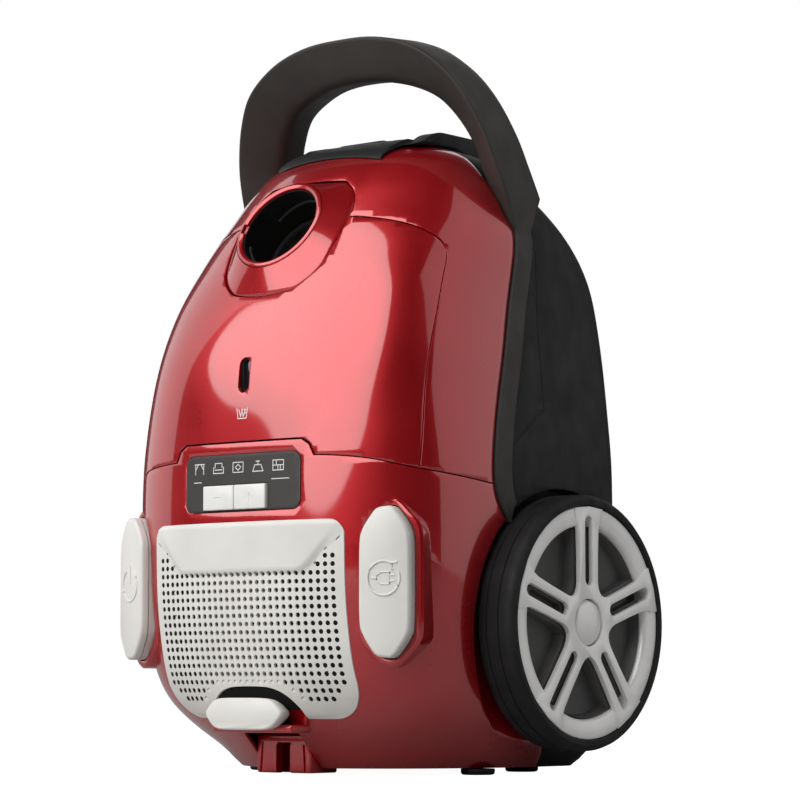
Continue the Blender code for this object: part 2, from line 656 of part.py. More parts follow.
# ---- bag chamber ----
def make_bag_chamber():
    z = 188
    rings = []
    for level in (z - 2, z + 2):
        front = front_section(level, 7.0, curve(SPLIT, level))
        rear = back_section(level, 7.0, curve(SPLIT, level))
        half = front + rear[1:]
        ring = half + [(-x, y) for x, y in reversed(half) if x > 0.01]
        rings.append([(x, y, level) for x, y in ring])
    wall = add("chamber_wall", skin(rings), "black")
    carve(wall, block((-170, -140, 150), (170, -55, 220)))
    carve(wall, block((-42, 6, 150), (42, 90, 220)))
    add("motor_filter", block((-40, 8, 184), (40, 88, 192), 1), "filter")
    bag = add("dust_bag", block((-66, -34, 200), (66, 96, 292), 16), "bag")
    bag.data.set_sharp_from_angle(angle=math.radians(50))
    axis = Vector((0, -math.cos(INLET_TILT), math.sin(INLET_TILT)))
    plate_centre = INLET_CENTRE - axis * 36
    bm = frame_ring(42, 52, 26, 3.0)
    turn = Vector((0, 0, 1)).rotation_difference(axis).to_matrix().to_4x4()
    bmesh.ops.transform(bm, matrix=Matrix.Translation(plate_centre) @ turn, verts=bm.verts)
    add("bag_collar", bm, "grey")


def frame_ring(width, height, hole, thick):
    """Rectangular card with a round hole, centred on the origin in the XY plane."""
    count = 24
    bm = bmesh.new()
    rings = []
    for level in (0, thick):
        outer, inner = [], []
        for i in range(count):
            a = 2 * math.pi * (i + 0.5) / count
            c, s = math.cos(a), math.sin(a)
            k = min(width / max(abs(c), 1e-6), height / max(abs(s), 1e-6))
            outer.append(bm.verts.new((c * k, s * k, level)))
            inner.append(bm.verts.new((c * hole, s * hole, level)))
        rings += [outer, inner]
    outer0, inner0, outer1, inner1 = rings
    for a, b in ((outer0, inner0), (inner0, inner1), (inner1, outer1), (outer1, outer0)):
        for i in range(count):
            j = (i + 1) % count
            bm.faces.new((a[i], a[j], b[j], b[i]))
    return bm


# ---- motor bay ----
def make_motor():
    x, y = MOTOR
    foot = (x, y, 0)
    up = (0, 0, 1)
    can = [(0, 64), (MOTOR_R, 64), (MOTOR_R, 172), (46, 172), (46, 67), (0, 67)]
    add("motor_housing", turned(can, foot, up, 32), "grey")
    add("motor_mount_ring", turned(ring_profile(38, 49, 172.5, 181), foot, up, 32), "rubber")
    add("motor_stator", turned(ring_profile(30, 45.5, 82, 128), foot, up, 28), "steel")
    rotor = [(0, 70), (5, 70), (5, 84), (27, 84), (27, 126), (5, 126), (5, 148), (42, 150), (42, 160),
             (12, 168), (0, 170)]
    add("motor_rotor", turned(rotor, foot, up, 24), "copper", (x, y, 120))

    x, y, z = DRUM_CENTRE
    across = (1, 0, 0)
    drum = [(7, -27), (DRUM_R, -27), (DRUM_R, -24.5), (24, -24.5), (24, 24.5), (DRUM_R, 24.5),
            (DRUM_R, 27), (7, 27)]
    add("cord_drum", turned(drum, DRUM_CENTRE, across, 24), "black", DRUM_CENTRE)
    axle = [(0, -34), (6.8, -34), (6.8, 32), (18, 40), (18, 44), (0, 44)]
    add("drum_axle", turned(axle, DRUM_CENTRE, across, 20), "grey")
    outlet = [(4.5, 121), (12, 121), (12, 127.6), (9, 127.6), (9, 131.4), (13, 131.4), (13, 134),
              (6, 134), (4.5, 132.5)]
    add("cord_outlet", turned(outlet, (x, 0, OUTLET_Z), (0, 1, 0), 16), "black")


# ---- running gear ----
def make_wheels():
    for side, word in ((1, "right"), (-1, "left")):
        centre = (side * WHEEL_X, WHEEL_Y, WHEEL_Z)
        inward = (-side, 0, 0)
        tyre = [(RIM_R - 4, 2), (RIM_R - 1, 0.4), (RIM_R + 2, 0.4), (TYRE_R - 0.8, 3), (TYRE_R, 6),
                (TYRE_R, TYRE_WIDTH - 4), (TYRE_R - 4, TYRE_WIDTH), (RIM_R - 6, TYRE_WIDTH),
                (RIM_R - 6, 8), (RIM_R - 4, 8)]
        add(f"wheel_tyre_{word}", turned(tyre, centre, inward, 36), "rubber", centre)
        rim = add(f"wheel_rim_{word}", rim_solid(side), "silver", centre)
        rim.data.set_sharp_from_angle(angle=math.radians(30))
        cap = [(0, 0.2), (8, 0.6), (13, 2.2), (HUB_R - 3.4, 3.8), (HUB_R - 3.4, 5.6), (0, 5.6)]
        add(f"wheel_cap_{word}", turned(cap, centre, inward, 24), "silver", centre)
        pin = [(0, 10), (AXLE_R, 10), (AXLE_R, 38.4), (9, 38.4), (9, 41), (0, 41)]
        add(f"wheel_axle_{word}", turned(pin, centre, inward, 20), "steel")


def rim_solid(side):
    """Wheel disc: outer ring, dished web and a hub that runs on the axle."""
    profile = [(AXLE_R + 0.05, 6), (HUB_R - 3, 6), (HUB_R - 3, 3.6), (HUB_R, 3.4), (HUB_R + 2, 9),
               (RIM_R - 12, 9), (RIM_R - 11, 3.0), (RIM_R - 4.5, 1.8), (RIM_R - 4.4, 7.5),
               (RIM_R - 6.4, 7.6), (RIM_R - 6.4, 18), (RIM_R - 12, 18), (RIM_R - 13, 13), (20, 13),
               (12, 22), (AXLE_R + 0.05, 22)]
    centre = (side * WHEEL_X, WHEEL_Y, WHEEL_Z)
    return turned(profile, centre, (-side, 0, 0), 36)


def make_caster():
    back = 131
    centre = (0, 0, CASTER_Z)
    along = (0, 1, 0)
    socket = [(0, 98), (30, 98), (30, back + 1.2), (27.5, back + 1.2), (27.5, 101.5), (5.2, 101.5),
              (5.2, 108), (0, 108)]
    add("caster_socket", turned(socket, centre, along, 28), "black")
    pivot = (0, 108, CASTER_Z)
    hub = [(5.35, 102), (9, 102), (9, 108.6), (25, 109.6), (25, 111.2), (0, 111.2), (0, 108.5),
           (5.35, 108.5)]
    fork = add("caster_fork", turned(hub, centre, along, 20), "black", pivot)
    axle_y = BACK_LIMIT - CASTER_R
    axle_z = CASTER_Z - CASTER_TRAIL
    for side in (1, -1):
        outline = [(110.5, CASTER_Z + 7), (110.5, axle_z - 7), (axle_y + 5, axle_z - 5),
                   (axle_y + 5, axle_z + 5)]
        carve(fork, prism(outline, "X", side * 8.0, side * 11.5), "UNION")
    carve(fork, disc(2.0, (-30, axle_y, axle_z), (1, 0, 0), 0, 60, 16))
    wheel = turned([(2.05, -7), (8, -7.5), (CASTER_R - 2, -7.5), (CASTER_R, -5), (CASTER_R, 5),
                    (CASTER_R - 2, 7.5), (8, 7.5), (2.05, 7)], (0, axle_y, axle_z), (1, 0, 0), 20)
    add("caster_wheel", wheel, "rubber", (0, axle_y, axle_z))
    add("caster_axle", disc(1.9, (-11.4, axle_y, axle_z), (1, 0, 0), 0, 22.8, 16), "steel", pivot)


def make_base_details():
    grip = add("handle", skin(handle_rings(0)), "handle")
    grip.data.set_sharp_from_angle(angle=math.radians(40))
    hook = add("parking_hook", block((-21, -47, 1.2), (21, -22.5, 24), 1.5), "red")
    carve(hook, block((-5.5, -60, -5), (5.5, -34, 19)))
    carve(hook, block((-12, -42, -5), (12, -34.5, 19)))
    for name, x, y in (("foot_front_right", 84, 30), ("foot_front_left", -84, 30),
                       ("foot_rear_right", 62, 100), ("foot_rear_left", -62, 100)):
        profile = [(0, 0), (9, 0), (10, 1), (10, 3.6), (0, 3.6)]
        add(name, turned(profile, (x, y, 0), (0, 0, 1), 12), "rubber")
    make_crown()
    outline = [(20, 380.5), (44, 380.5), (44, 381.4), (38, 383), (26, 383), (20, 381.6)]
    add("lid_latch", prism(outline, "X", -15, 15), "black", (0, 32, 381))


def top_z(x, y):
    """Height of the outer skin over (x, y) near the top of the machine."""
    top = HALF_WIDTH[-1][0]
    if y > BACK[-1][1]:
        rising = [(-depth, z) for z, depth in BACK if z > 290]
        return curve(rising, -y)
    low = 323.0
    if front_y(x, top) <= y:
        return top
    high = top
    for _ in range(20):
        middle = (low + high) / 2
        if front_y(x, middle) < y:
            low = middle
        else:
            high = middle
    return low


def make_crown():
    """Black cover over the top: a plate that laps the red nose, with a raised rail on each side."""
    rings = []
    for i in range(9):
        x = CROWN_HALF * (i / 4 - 1)
        under = [(x, y, top_z(x, y) + 0.36 * rise) for y, rise in CROWN_TOP]
        over = [(x, y, top_z(x, y) + rise) for y, rise in reversed(CROWN_TOP)]
        rings.append(under + over)
    crown = add("top_crown", skin(rings), "black")
    for side in (1, -1):
        rail = prism(RAIL, "X", *sorted((side * RAIL_X[0], side * RAIL_X[1])))
        bmesh.ops.bevel(rail, geom=rail.edges, offset=1.5, segments=1, affect="EDGES")
        carve(crown, rail, "UNION")


def main():
    for old in list(bpy.data.objects):
        bpy.data.objects.remove(old)
    make_shells()
    make_lid_fittings()
    make_controls()
    make_exhaust()
    make_bag_chamber()
    make_motor()
    make_wheels()
    make_caster()
    make_base_details()


main()
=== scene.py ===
"""Finished look of the canister vacuum cleaner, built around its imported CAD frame.

Lengths in the tables are in millimetres, in the frame that part.py models in: X to the right,
Y to the rear and +Z up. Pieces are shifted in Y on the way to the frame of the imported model.
"""

import json
import math

import bmesh
import bpy
from mathutils import Matrix, Quaternion, Vector


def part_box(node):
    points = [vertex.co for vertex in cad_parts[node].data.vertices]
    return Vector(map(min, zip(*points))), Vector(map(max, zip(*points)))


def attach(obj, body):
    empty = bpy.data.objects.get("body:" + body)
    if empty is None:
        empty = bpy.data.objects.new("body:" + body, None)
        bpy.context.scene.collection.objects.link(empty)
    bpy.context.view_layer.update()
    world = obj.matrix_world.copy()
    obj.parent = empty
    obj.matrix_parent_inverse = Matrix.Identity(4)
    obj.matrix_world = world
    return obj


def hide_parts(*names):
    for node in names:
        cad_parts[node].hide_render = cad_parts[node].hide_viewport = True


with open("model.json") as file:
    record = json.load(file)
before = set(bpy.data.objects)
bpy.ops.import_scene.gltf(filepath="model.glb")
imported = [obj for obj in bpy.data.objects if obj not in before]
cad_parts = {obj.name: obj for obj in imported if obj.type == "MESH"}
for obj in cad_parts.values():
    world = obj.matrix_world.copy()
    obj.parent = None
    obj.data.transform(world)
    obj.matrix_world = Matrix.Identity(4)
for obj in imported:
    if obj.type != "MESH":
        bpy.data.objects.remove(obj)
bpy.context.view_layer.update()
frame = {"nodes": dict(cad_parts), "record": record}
MM = 0.001

# ---- dimensions taken from the frame ----
TYRE_LOW, TYRE_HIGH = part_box("wheel_tyre_right")
WHEEL_X, WHEEL_Y = 141.0, 65.3
WHEEL_Z = (TYRE_LOW.z + TYRE_HIGH.z) / 2 / MM
Y_MID = WHEEL_Y - (TYRE_LOW.y + TYRE_HIGH.y) / 2 / MM      # shift between the two frames
TYRE_R = (TYRE_HIGH.z - TYRE_LOW.z) / 2 / MM
TYRE_WIDTH = (TYRE_HIGH.x - TYRE_LOW.x) / MM

# ---- dimensions of the design ----
WALL = 3.0
GAP = 0.4
SEAM = 0.8
RIM_R = 70.0
HUB_R = 17.0
WELL_R = 79.0
WELL_X = 106.0
SPOKES = 5
INLET_CENTRE = Vector((0, -49.5, 322.0))
INLET_TILT = math.radians(30)
INLET_AXIS = Vector((0, -math.cos(INLET_TILT), math.sin(INLET_TILT)))
INLET_R = 26.8
COLLAR_R = 30.5
PEDAL_CENTRE = (100.0, -74.0, 110.0)
PEDAL_ANGLE = math.radians(20)
PANEL_HALF = 45.0
PANEL_Z = (152.6, 185.8)
BUTTON_Z = (153.6, 168.0)
BUTTON_EDGES = (-29.0, -4.4, 20.6)
GRILLE_HALF = 74.0
GRILLE_Z = (33.0, 146.2)
LATCH_HALF = 31.0
VENT_HALF = 68.0
VENT_Z = (46.5, 141.5)
LATCH_Z = (26.4, 45.0)
WINDOW_Z = 232.0
CASTER_R = 30.0
CASTER_Z = 272.0
OUTLET_R = 9.4
OUTLET_X = 53.0
OUTLET_Z = 58.0

# ---- outer skin: each curve is (height, value) ----
HALF_WIDTH = [(4, 96), (10, 101), (16, 104.5), (24, 108), (36, 110.5), (49, 113), (66, 115.5),
              (112, 118), (156, 119), (180, 118.8), (217, 115.5), (244, 112.5), (268, 109),
              (285, 106.5), (302, 104.5), (323, 101.5), (339, 94), (354, 85), (365, 76),
              (371, 66), (375, 54)]
FRONT = [(4, -40), (10, -46), (16, -51), (24, -58.5), (36, -68), (49, -74), (66, -78.5),
         (112, -83.5), (156, -84), (180, -83.8), (217, -83.2), (244, -80.5), (268, -73),
         (285, -66), (302, -57), (323, -46), (339, -37.5), (354, -27), (365, -15), (371, -4),
         (375, 8)]
FLANK = [(4, 66), (16, 55), (24, 44), (36, 33), (49, 22), (66, 11), (112, 0), (156, 0),
         (180, 1.5), (217, 10), (244, 19.4), (273, 28.6), (304, 40), (323, 45), (333, 43.5),
         (343, 38), (354, 36), (375, 34)]
SPLIT = [(4, 70), (100, 38), (125, 34), (138, 22), (155, 5), (167, 1), (180, 1.5), (217, 10),
         (244, 19.4), (273, 28.6), (304, 40), (323, 45), (333, 43.5), (343, 38), (354, 36),
         (375, 34)]
ROUNDNESS = [(4, 2), (16, 2), (24, 2.15), (36, 2.8), (49, 3.1), (180, 3.15), (268, 3.1),
             (285, 3.0), (302, 2.7), (323, 2.4), (339, 2.0), (375, 2.0)]
BACK = [(4, 118), (10, 124), (20, 129), (40, 131), (250, 131), (280, 130), (294, 128),
        (307, 121), (326, 107), (339, 96), (354, 82), (365, 70), (371, 61), (375, 50)]
BACK_CORNER = 21.0
ROW_PITCH = 4.1
SKIN_LOW, SKIN_TOP = HALF_WIDTH[0][0], HALF_WIDTH[-1][0]
FAIRING = 22.0             # reach of the moving average over each table
FAIR_SAMPLES = 6           # samples of it to each side
FINE_STEPS = 240           # steps of the front outline before it is resampled
FRONT_STEPS = 36
BACK_STEPS = 10


def spline(points, z):
    """Value of a monotone cubic curve through (height, value) points."""
    if z <= points[0][0]:
        return points[0][1]
    if z >= points[-1][0]:
        return points[-1][1]
    slopes = [(b[1] - a[1]) / (b[0] - a[0]) for a, b in zip(points, points[1:])]
    k = max(i for i, p in enumerate(points[:-1]) if z >= p[0])

    def tangent(i):
        if i in (0, len(points) - 1):
            return slopes[min(i, len(slopes) - 1)]
        if slopes[i - 1] * slopes[i] <= 0:
            return 0.0
        return 2 * slopes[i - 1] * slopes[i] / (slopes[i - 1] + slopes[i])

    (z0, v0), (z1, v1) = points[k], points[k + 1]
    h = z1 - z0
    t = (z - z0) / h
    a, b = tangent(k) * h, tangent(k + 1) * h
    return (v0 * (2 * t**3 - 3 * t**2 + 1) + a * (t**3 - 2 * t**2 + t)
            + v1 * (3 * t**2 - 2 * t**3) + b * (t**3 - t**2))


FAIRED = {}


def curve(points, z):
    """Value at height z of the table's spline, faired by a moving average of its own shape."""
    key = id(points)
    if key not in FAIRED:
        low, high = points[0][0], points[-1][0]
        row = []
        for k in range(int(high - low) + 1):
            at = low + k
            reach = min(FAIRING, at - low, high - at)
            total = weight = 0.0
            for i in range(-FAIR_SAMPLES, FAIR_SAMPLES + 1):
                w = math.cos(math.pi / 2 * i / (FAIR_SAMPLES + 1)) ** 2
                total += w * spline(points, at + reach * i / FAIR_SAMPLES)
                weight += w
            row.append(total / weight)
        FAIRED[key] = (low, row)
    low, row = FAIRED[key]
    place = min(max(z - low, 0.0), len(row) - 1.0)
    k = min(int(place), len(row) - 2)
    return row[k] + (row[k + 1] - row[k]) * (place - k)


def measures(z, inset):
    """Half width, depth of the flank, depth of the front ahead of it and roundness at height z."""
    flank = curve(FLANK, z)
    return (curve(HALF_WIDTH, z) - inset, flank, flank - curve(FRONT, z) - inset,
            curve(ROUNDNESS, z))


def front_y(x, z):
    """Y of the front skin at x and height z."""
    w, flank, depth, n = measures(z, 0.0)
    ratio = min(abs(x) / w, 1.0)
    return flank - depth * (1 - ratio**n) ** (1 / n)


def front_x(y, z, inset=0.0):
    """Half width of the machine at depth y and height z."""
    w, flank, depth, n = measures(z, inset)
    if y >= flank:
        return w
    return w * (1 - min((flank - y) / depth, 1.0) ** n) ** (1 / n)


def front_section(z, inset, rear):
    """Half outline of the front at height z, in equal steps of length from the centre to rear."""
    w, flank, depth, n = measures(z, inset)
    fine = []
    for i in range(FINE_STEPS + 1):
        t = math.pi / 2 * i / FINE_STEPS
        p = Vector((w * math.sin(t) ** (2 / n), flank - depth * math.cos(t) ** (2 / n)))
        if p.y < rear - 0.2:
            fine.append(p)
    fine.append(Vector((front_x(rear, z, inset), rear)))
    return spaced(fine, FRONT_STEPS)


def back_section(z, inset, rear):
    """Half outline of the rear at height z, from the split line to the centre."""
    w = curve(HALF_WIDTH, z) - inset
    back = curve(BACK, z) - inset
    r = min(BACK_CORNER, (back - rear) * 0.6)
    half = [Vector((front_x(rear, z, inset), rear)), Vector((w, rear + 0.3 * (back - r - rear)))]
    half.append(Vector((w, rear + 0.65 * (back - r - rear))))
    for i in range(BACK_STEPS + 1):
        t = math.pi / 2 * i / BACK_STEPS
        half.append(Vector((w - r + r * math.cos(t), back - r + r * math.sin(t))))
    return half + [Vector((w * 0.6, back)), Vector((w * 0.3, back))]


def spaced(points, count):
    """Polyline resampled to count + 1 points in equal steps of length."""
    reach = [0.0]
    for a, b in zip(points, points[1:]):
        reach.append(reach[-1] + (b - a).length)
    made, k = [], 0
    for i in range(count + 1):
        want = reach[-1] * i / count
        while k < len(points) - 2 and reach[k + 1] < want:
            k += 1
        step = reach[k + 1] - reach[k]
        made.append(points[k].lerp(points[k + 1], (want - reach[k]) / step if step else 0))
    return made


# ---- materials ----
# slot: colour, roughness, metallic, coat, blotch size in mm, colour spread, grain size in mm,
# grain depth and wear
LOOKS = {
    "red": ((0.44, 0.003, 0.008), 0.30, 0.55, 1.0, 60, 0.05, 0.30, 0.02, 0.0),
    "black": ((0.0135, 0.0135, 0.0140), 0.52, 0.0, 0.0, 26, 0.22, 0.55, 0.16, 0.25),
    "handle": ((0.040, 0.035, 0.032), 0.52, 0.0, 0.0, 30, 0.16, 0.40, 0.10, 0.20),
    "light": ((0.68, 0.665, 0.63), 0.38, 0.0, 0.12, 34, 0.05, 0.45, 0.07, 0.10),
    "silver": ((0.92, 0.91, 0.89), 0.36, 0.15, 0.3, 24, 0.06, 0.25, 0.05, 0.12),
    "panel": ((0.036, 0.032, 0.030), 0.46, 0.0, 0.0, 20, 0.12, 0.35, 0.08, 0.15),
    "button": ((0.74, 0.735, 0.71), 0.32, 0.0, 0.3, 16, 0.04, 0.30, 0.05, 0.08),
    "rubber": ((0.0115, 0.0115, 0.012), 0.62, 0.0, 0.0, 18, 0.30, 0.60, 0.25, 0.35),
    "steel": ((0.52, 0.515, 0.50), 0.28, 1.0, 0.0, 14, 0.12, 0.20, 0.12, 0.10),
    "disc": ((0.085, 0.082, 0.08), 0.5, 0.0, 0.0, 24, 0.12, 0.40, 0.08, 0.15),
    "grey": ((0.25, 0.25, 0.26), 0.5, 0.0, 0.0, 24, 0.10, 0.50, 0.12, 0.12),
    "filter": ((0.76, 0.75, 0.70), 0.92, 0.0, 0.0, 10, 0.12, 0.9, 0.45, 0.0),
    "bag": ((0.66, 0.61, 0.50), 0.95, 0.0, 0.0, 30, 0.10, 1.1, 0.5, 0.05),
    "board": ((0.02, 0.12, 0.05), 0.4, 0.0, 0.4, 5, 0.4, 1.6, 0.3, 0.0),
    "copper": ((0.56, 0.25, 0.12), 0.35, 1.0, 0.0, 6, 0.2, 0.5, 0.7, 0.0),
    "window": ((0.012, 0.012, 0.013), 0.10, 0.0, 0.6, 20, 0.2, 0.5, 0.01, 0.0),
    "mark": ((0.72, 0.71, 0.69), 0.45, 0.0, 0.0, 8, 0.05, 0.3, 0.05, 0.0),
    # near-black look with weak specular: painted shade for the inside of the inlet bore and behind
    # the exhaust door's holes
    "painted_shade": ((0.008, 0.008, 0.008), 0.6, 0.0, 0.0, 20, 0.3, 0.6, 0.15, 0.0),
}
SPECULAR = {"black": 0.22, "handle": 0.32, "panel": 0.35, "rubber": 0.25, "painted_shade": 0.1}
WEAR_COLOUR = {"red": (0.50, 0.09, 0.10), "black": (0.07, 0.07, 0.07), "handle": (0.12, 0.11, 0.10),
               "rubber": (0.06, 0.058, 0.055), "panel": (0.14, 0.13, 0.12)}


def feed(tree, target, inputs):
    """Fill inputs of a node, each with a value or with a link from an output socket."""
    for name, given in inputs.items():
        if isinstance(given, bpy.types.NodeSocket):
            tree.links.new(given, target.inputs[name])
        else:
            target.inputs[name].default_value = given
    return target


def node(tree, kind, inputs):
    """New shader node with its inputs filled."""
    return feed(tree, tree.nodes.new("ShaderNode" + kind), inputs)


def blend(tree, mode, factor, first, second):
    """Output of a colour mix."""
    made = tree.nodes.new("ShaderNodeMix")
    made.data_type, made.blend_type = "RGBA", mode
    return feed(tree, made, {"Factor": factor, "A": first, "B": second}).outputs["Result"]


def noise(tree, place, size, detail, stretch=(1, 1, 1)):
    """Output of a noise texture whose features are about size millimetres across."""
    mapping = node(tree, "Mapping", {"Scale": stretch, "Vector": place})
    return node(tree, "TexNoise", {"Scale": 1 / (size * MM), "Detail": detail,
                                   "Vector": mapping.outputs["Vector"]}).outputs["Fac"]


def ramp(tree, source, stops):
    """Output of a colour ramp; stops are (position, colour)."""
    made = node(tree, "ValToRGB", {"Fac": source})
    first, last = made.color_ramp.elements
    first.position, first.color = stops[0][0], (*stops[0][1], 1)
    last.position, last.color = stops[-1][0], (*stops[-1][1], 1)
    for position, colour in stops[1:-1]:
        made.color_ramp.elements.new(position).color = (*colour, 1)
    return made.outputs["Color"]


def scaled(colour, k):
    return tuple(min(c * k, 1.0) for c in colour)


def relief(tree, shader, heights):
    """Chain of bumps, from the coarsest to the finest: (output, strength, distance in mm)."""
    inputs = {}
    for source, strength, distance in heights:
        inputs.update({"Strength": strength, "Distance": distance * MM, "Height": source})
        inputs["Normal"] = node(tree, "Bump", inputs).outputs["Normal"]
    feed(tree, shader, {"Normal": inputs["Normal"]})


# slot: direction, scale and distortion of its bands, and the depth of the relief in mm
BANDS = {"filter": ("X", 90, 0.3, 1.2), "copper": ("Z", 260, 0.2, 0.3), "board": ("X", 60, 0, 0.3)}
FLEECE_CELL = 2.2
FLAKE = 0.35
COAT_ROUGHNESS = 0.06
LACQUER_IOR = 1.72
PLAIN_IOR = 1.5


def pattern(tree, place, slot):
    """Extra relief of the slots that have a regular texture: (output, strength, distance)."""
    if slot in BANDS:
        direction, scale, distortion, depth = BANDS[slot]
        made = node(tree, "TexWave", {"Scale": scale, "Distortion": distortion, "Vector": place})
        made.wave_type = "BANDS"
        made.bands_direction = direction
        return [(made.outputs["Fac"], 0.8, depth)]
    if slot == "bag":
        made = node(tree, "TexVoronoi", {"Scale": 1 / (FLEECE_CELL * MM), "Vector": place})
        return [(made.outputs["Distance"], 0.35, 0.4)]
    return []


def make_material(slot):
    colour, rough, metallic, coat, blotch, spread, grain, depth, wear = LOOKS[slot]
    made = bpy.data.materials.new("look_" + slot)
    made.use_nodes = True
    tree = made.node_tree
    place = node(tree, "TexCoord", {}).outputs["Object"]

    dull, bright = scaled(colour, 1 - spread), scaled(colour, 1 + spread)
    top = ramp(tree, noise(tree, place, blotch, 4.0), [(0.3, dull), (0.5, colour), (0.7, bright)])
    if slot == "red":
        flakes = node(tree, "TexVoronoi", {"Scale": 1 / (FLAKE * MM), "Vector": place})
        glint = ramp(tree, flakes.outputs["Color"], [(0.0, (0.92,) * 3), (1.0, (1.08,) * 3)])
        top = blend(tree, "MULTIPLY", 1.0, top, glint)
    if wear:
        edge = node(tree, "NewGeometry", {})
        worn = ramp(tree, edge.outputs["Pointiness"], [(0.56, (0, 0, 0)), (0.66, (wear * 2,) * 3)])
        rubbed = (*WEAR_COLOUR.get(slot, scaled(colour, 1.25)), 1)
        top = blend(tree, "MIX", worn, top, rubbed)

    smear = noise(tree, place, blotch * 0.35, 5.0, (1, 1, 0.55))
    polish = node(tree, "MapRange", {"From Min": 0.3, "From Max": 0.7, "To Min": rough * 0.86,
                                     "To Max": min(rough * 1.16, 1.0), "Value": smear})
    shader = feed(tree, tree.nodes["Principled BSDF"],
                  {"Base Color": top, "Roughness": polish.outputs["Result"], "Metallic": metallic,
                   "Coat Weight": coat, "Coat Roughness": COAT_ROUGHNESS,
                   "Coat IOR": LACQUER_IOR if slot == "red" else PLAIN_IOR,
                   "Specular IOR Level": SPECULAR.get(slot, 0.5)})
    fine = noise(tree, place, grain, 2.0, (1, 1, 0.2) if slot == "steel" else (1, 1, 1))
    relief(tree, shader, pattern(tree, place, slot) + [(fine, depth, 0.12)])
    return made


MATERIALS = {slot: make_material(slot) for slot in LOOKS}


# ---- mesh helpers ----
def linked(name, data):
    """New object in the scene that shows data."""
    made = bpy.data.objects.new(name, data)
    bpy.context.collection.objects.link(made)
    return made


def solid(name, bm, look):
    """Turn bm (in mm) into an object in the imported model's frame, with its origin at zero."""
    bmesh.ops.recalc_face_normals(bm, faces=bm.faces)
    bmesh.ops.translate(bm, verts=bm.verts, vec=(0, -Y_MID, 0))
    bmesh.ops.scale(bm, verts=bm.verts, vec=(MM, MM, MM))
    mesh = bpy.data.meshes.new(name)
    bm.to_mesh(mesh)
    bm.free()
    mesh.materials.append(MATERIALS[look])
    return linked(name, mesh)


def settle(piece, bevel=0.0, crease=35, weld=True):
    """Clean the mesh, round its sharp edges and shade it smooth between them."""
    if weld:
        bm = bmesh.new()
        bm.from_mesh(piece.data)
        bmesh.ops.remove_doubles(bm, verts=bm.verts, dist=0.02 * MM)
        bmesh.ops.dissolve_degenerate(bm, edges=bm.edges, dist=0.02 * MM)
        bm.to_mesh(piece.data)
        bm.free()
    if bevel:
        step = piece.modifiers.new("edges", "BEVEL")
        step.width = bevel * MM
        step.segments = 2
        step.limit_method = "ANGLE"
        step.angle_limit = math.radians(crease)
        apply_modifiers(piece)
    piece.data.shade_smooth()
    piece.data.set_sharp_from_angle(angle=math.radians(crease))
    return piece


def apply_modifiers(piece):
    bpy.context.view_layer.update()
    shaped = piece.evaluated_get(bpy.context.evaluated_depsgraph_get())
    mesh = bpy.data.meshes.new_from_object(shaped)
    piece.modifiers.clear()
    old = piece.data
    piece.data = mesh
    bpy.data.meshes.remove(old)
    mesh.name = piece.name


def place(piece, body, look, *nodes):
    """Let the finished piece ride on its body and stand for CAD nodes."""
    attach(piece, body)
    if nodes:
        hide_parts(*nodes)


def fit(name, bm, look, body, *nodes, bevel=0.0, crease=35):
    """Make and place a piece that needs no cuts."""
    place(settle(solid(name, bm, look), bevel, crease), body, look, *nodes)


def in_mm(box):
    """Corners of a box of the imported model, in the tables' frame."""
    return [corner / MM + Vector((0, Y_MID, 0)) for corner in box]


def cut(piece, other, operation="DIFFERENCE"):
    """Boolean with a bmesh in mm or with another object, which is used up."""
    tool = solid("tool", other, "grey") if isinstance(other, bmesh.types.BMesh) else other
    tool.data.materials.clear()
    tool.data.materials.append(piece.data.materials[0])
    step = piece.modifiers.new("cut", "BOOLEAN")
    step.operation = operation
    step.solver = "MANIFOLD"
    step.object = tool
    apply_modifiers(piece)
    spent = tool.data
    bpy.data.objects.remove(tool)
    bpy.data.meshes.remove(spent)
    return piece


def bands(rings):
    """Open mesh of quads between rings of equal length."""
    bm = bmesh.new()
    made = [[bm.verts.new(p) for p in ring] for ring in rings]
    for low, high in zip(made, made[1:]):
        for i in range(len(low)):
            j = (i + 1) % len(low)
            bm.faces.new((low[i], low[j], high[j], high[i]))
    return bm


def skin(rings, caps=True):
    """Closed solid through rings of equal length, capped or joined end to start."""
    bm = bands(rings)
    bm.verts.ensure_lookup_table()
    count = len(rings[0])
    first, last = bm.verts[:count], bm.verts[-count:]
    if caps:
        bm.faces.new(first)
        bm.faces.new(last)
    else:
        for i in range(count):
            j = (i + 1) % count
            bm.faces.new((last[i], last[j], first[j], first[i]))
    bmesh.ops.recalc_face_normals(bm, faces=bm.faces)
    return bm


def block(low, high, bevel=0.0, segments=2):
    """Box between two corners, with optional rounded edges."""
    (x0, y0, z0), (x1, y1, z1) = low, high
    ring = [(x0, y0), (x1, y0), (x1, y1), (x0, y1)]
    bm = skin([[(x, y, z) for x, y in ring] for z in (z0, z1)])
    if bevel:
        bmesh.ops.bevel(bm, geom=bm.edges, offset=bevel, segments=segments, affect="EDGES",
                        profile=0.5)
    return bm


def prism(outline, axis, start, end):
    """Outline of two coordinates extruded along axis X, Y or Z."""
    def point(a, b, c):
        return {"X": (c, a, b), "Y": (a, c, b), "Z": (a, b, c)}[axis]
    return skin([[point(a, b, c) for a, b in outline] for c in (start, end)])


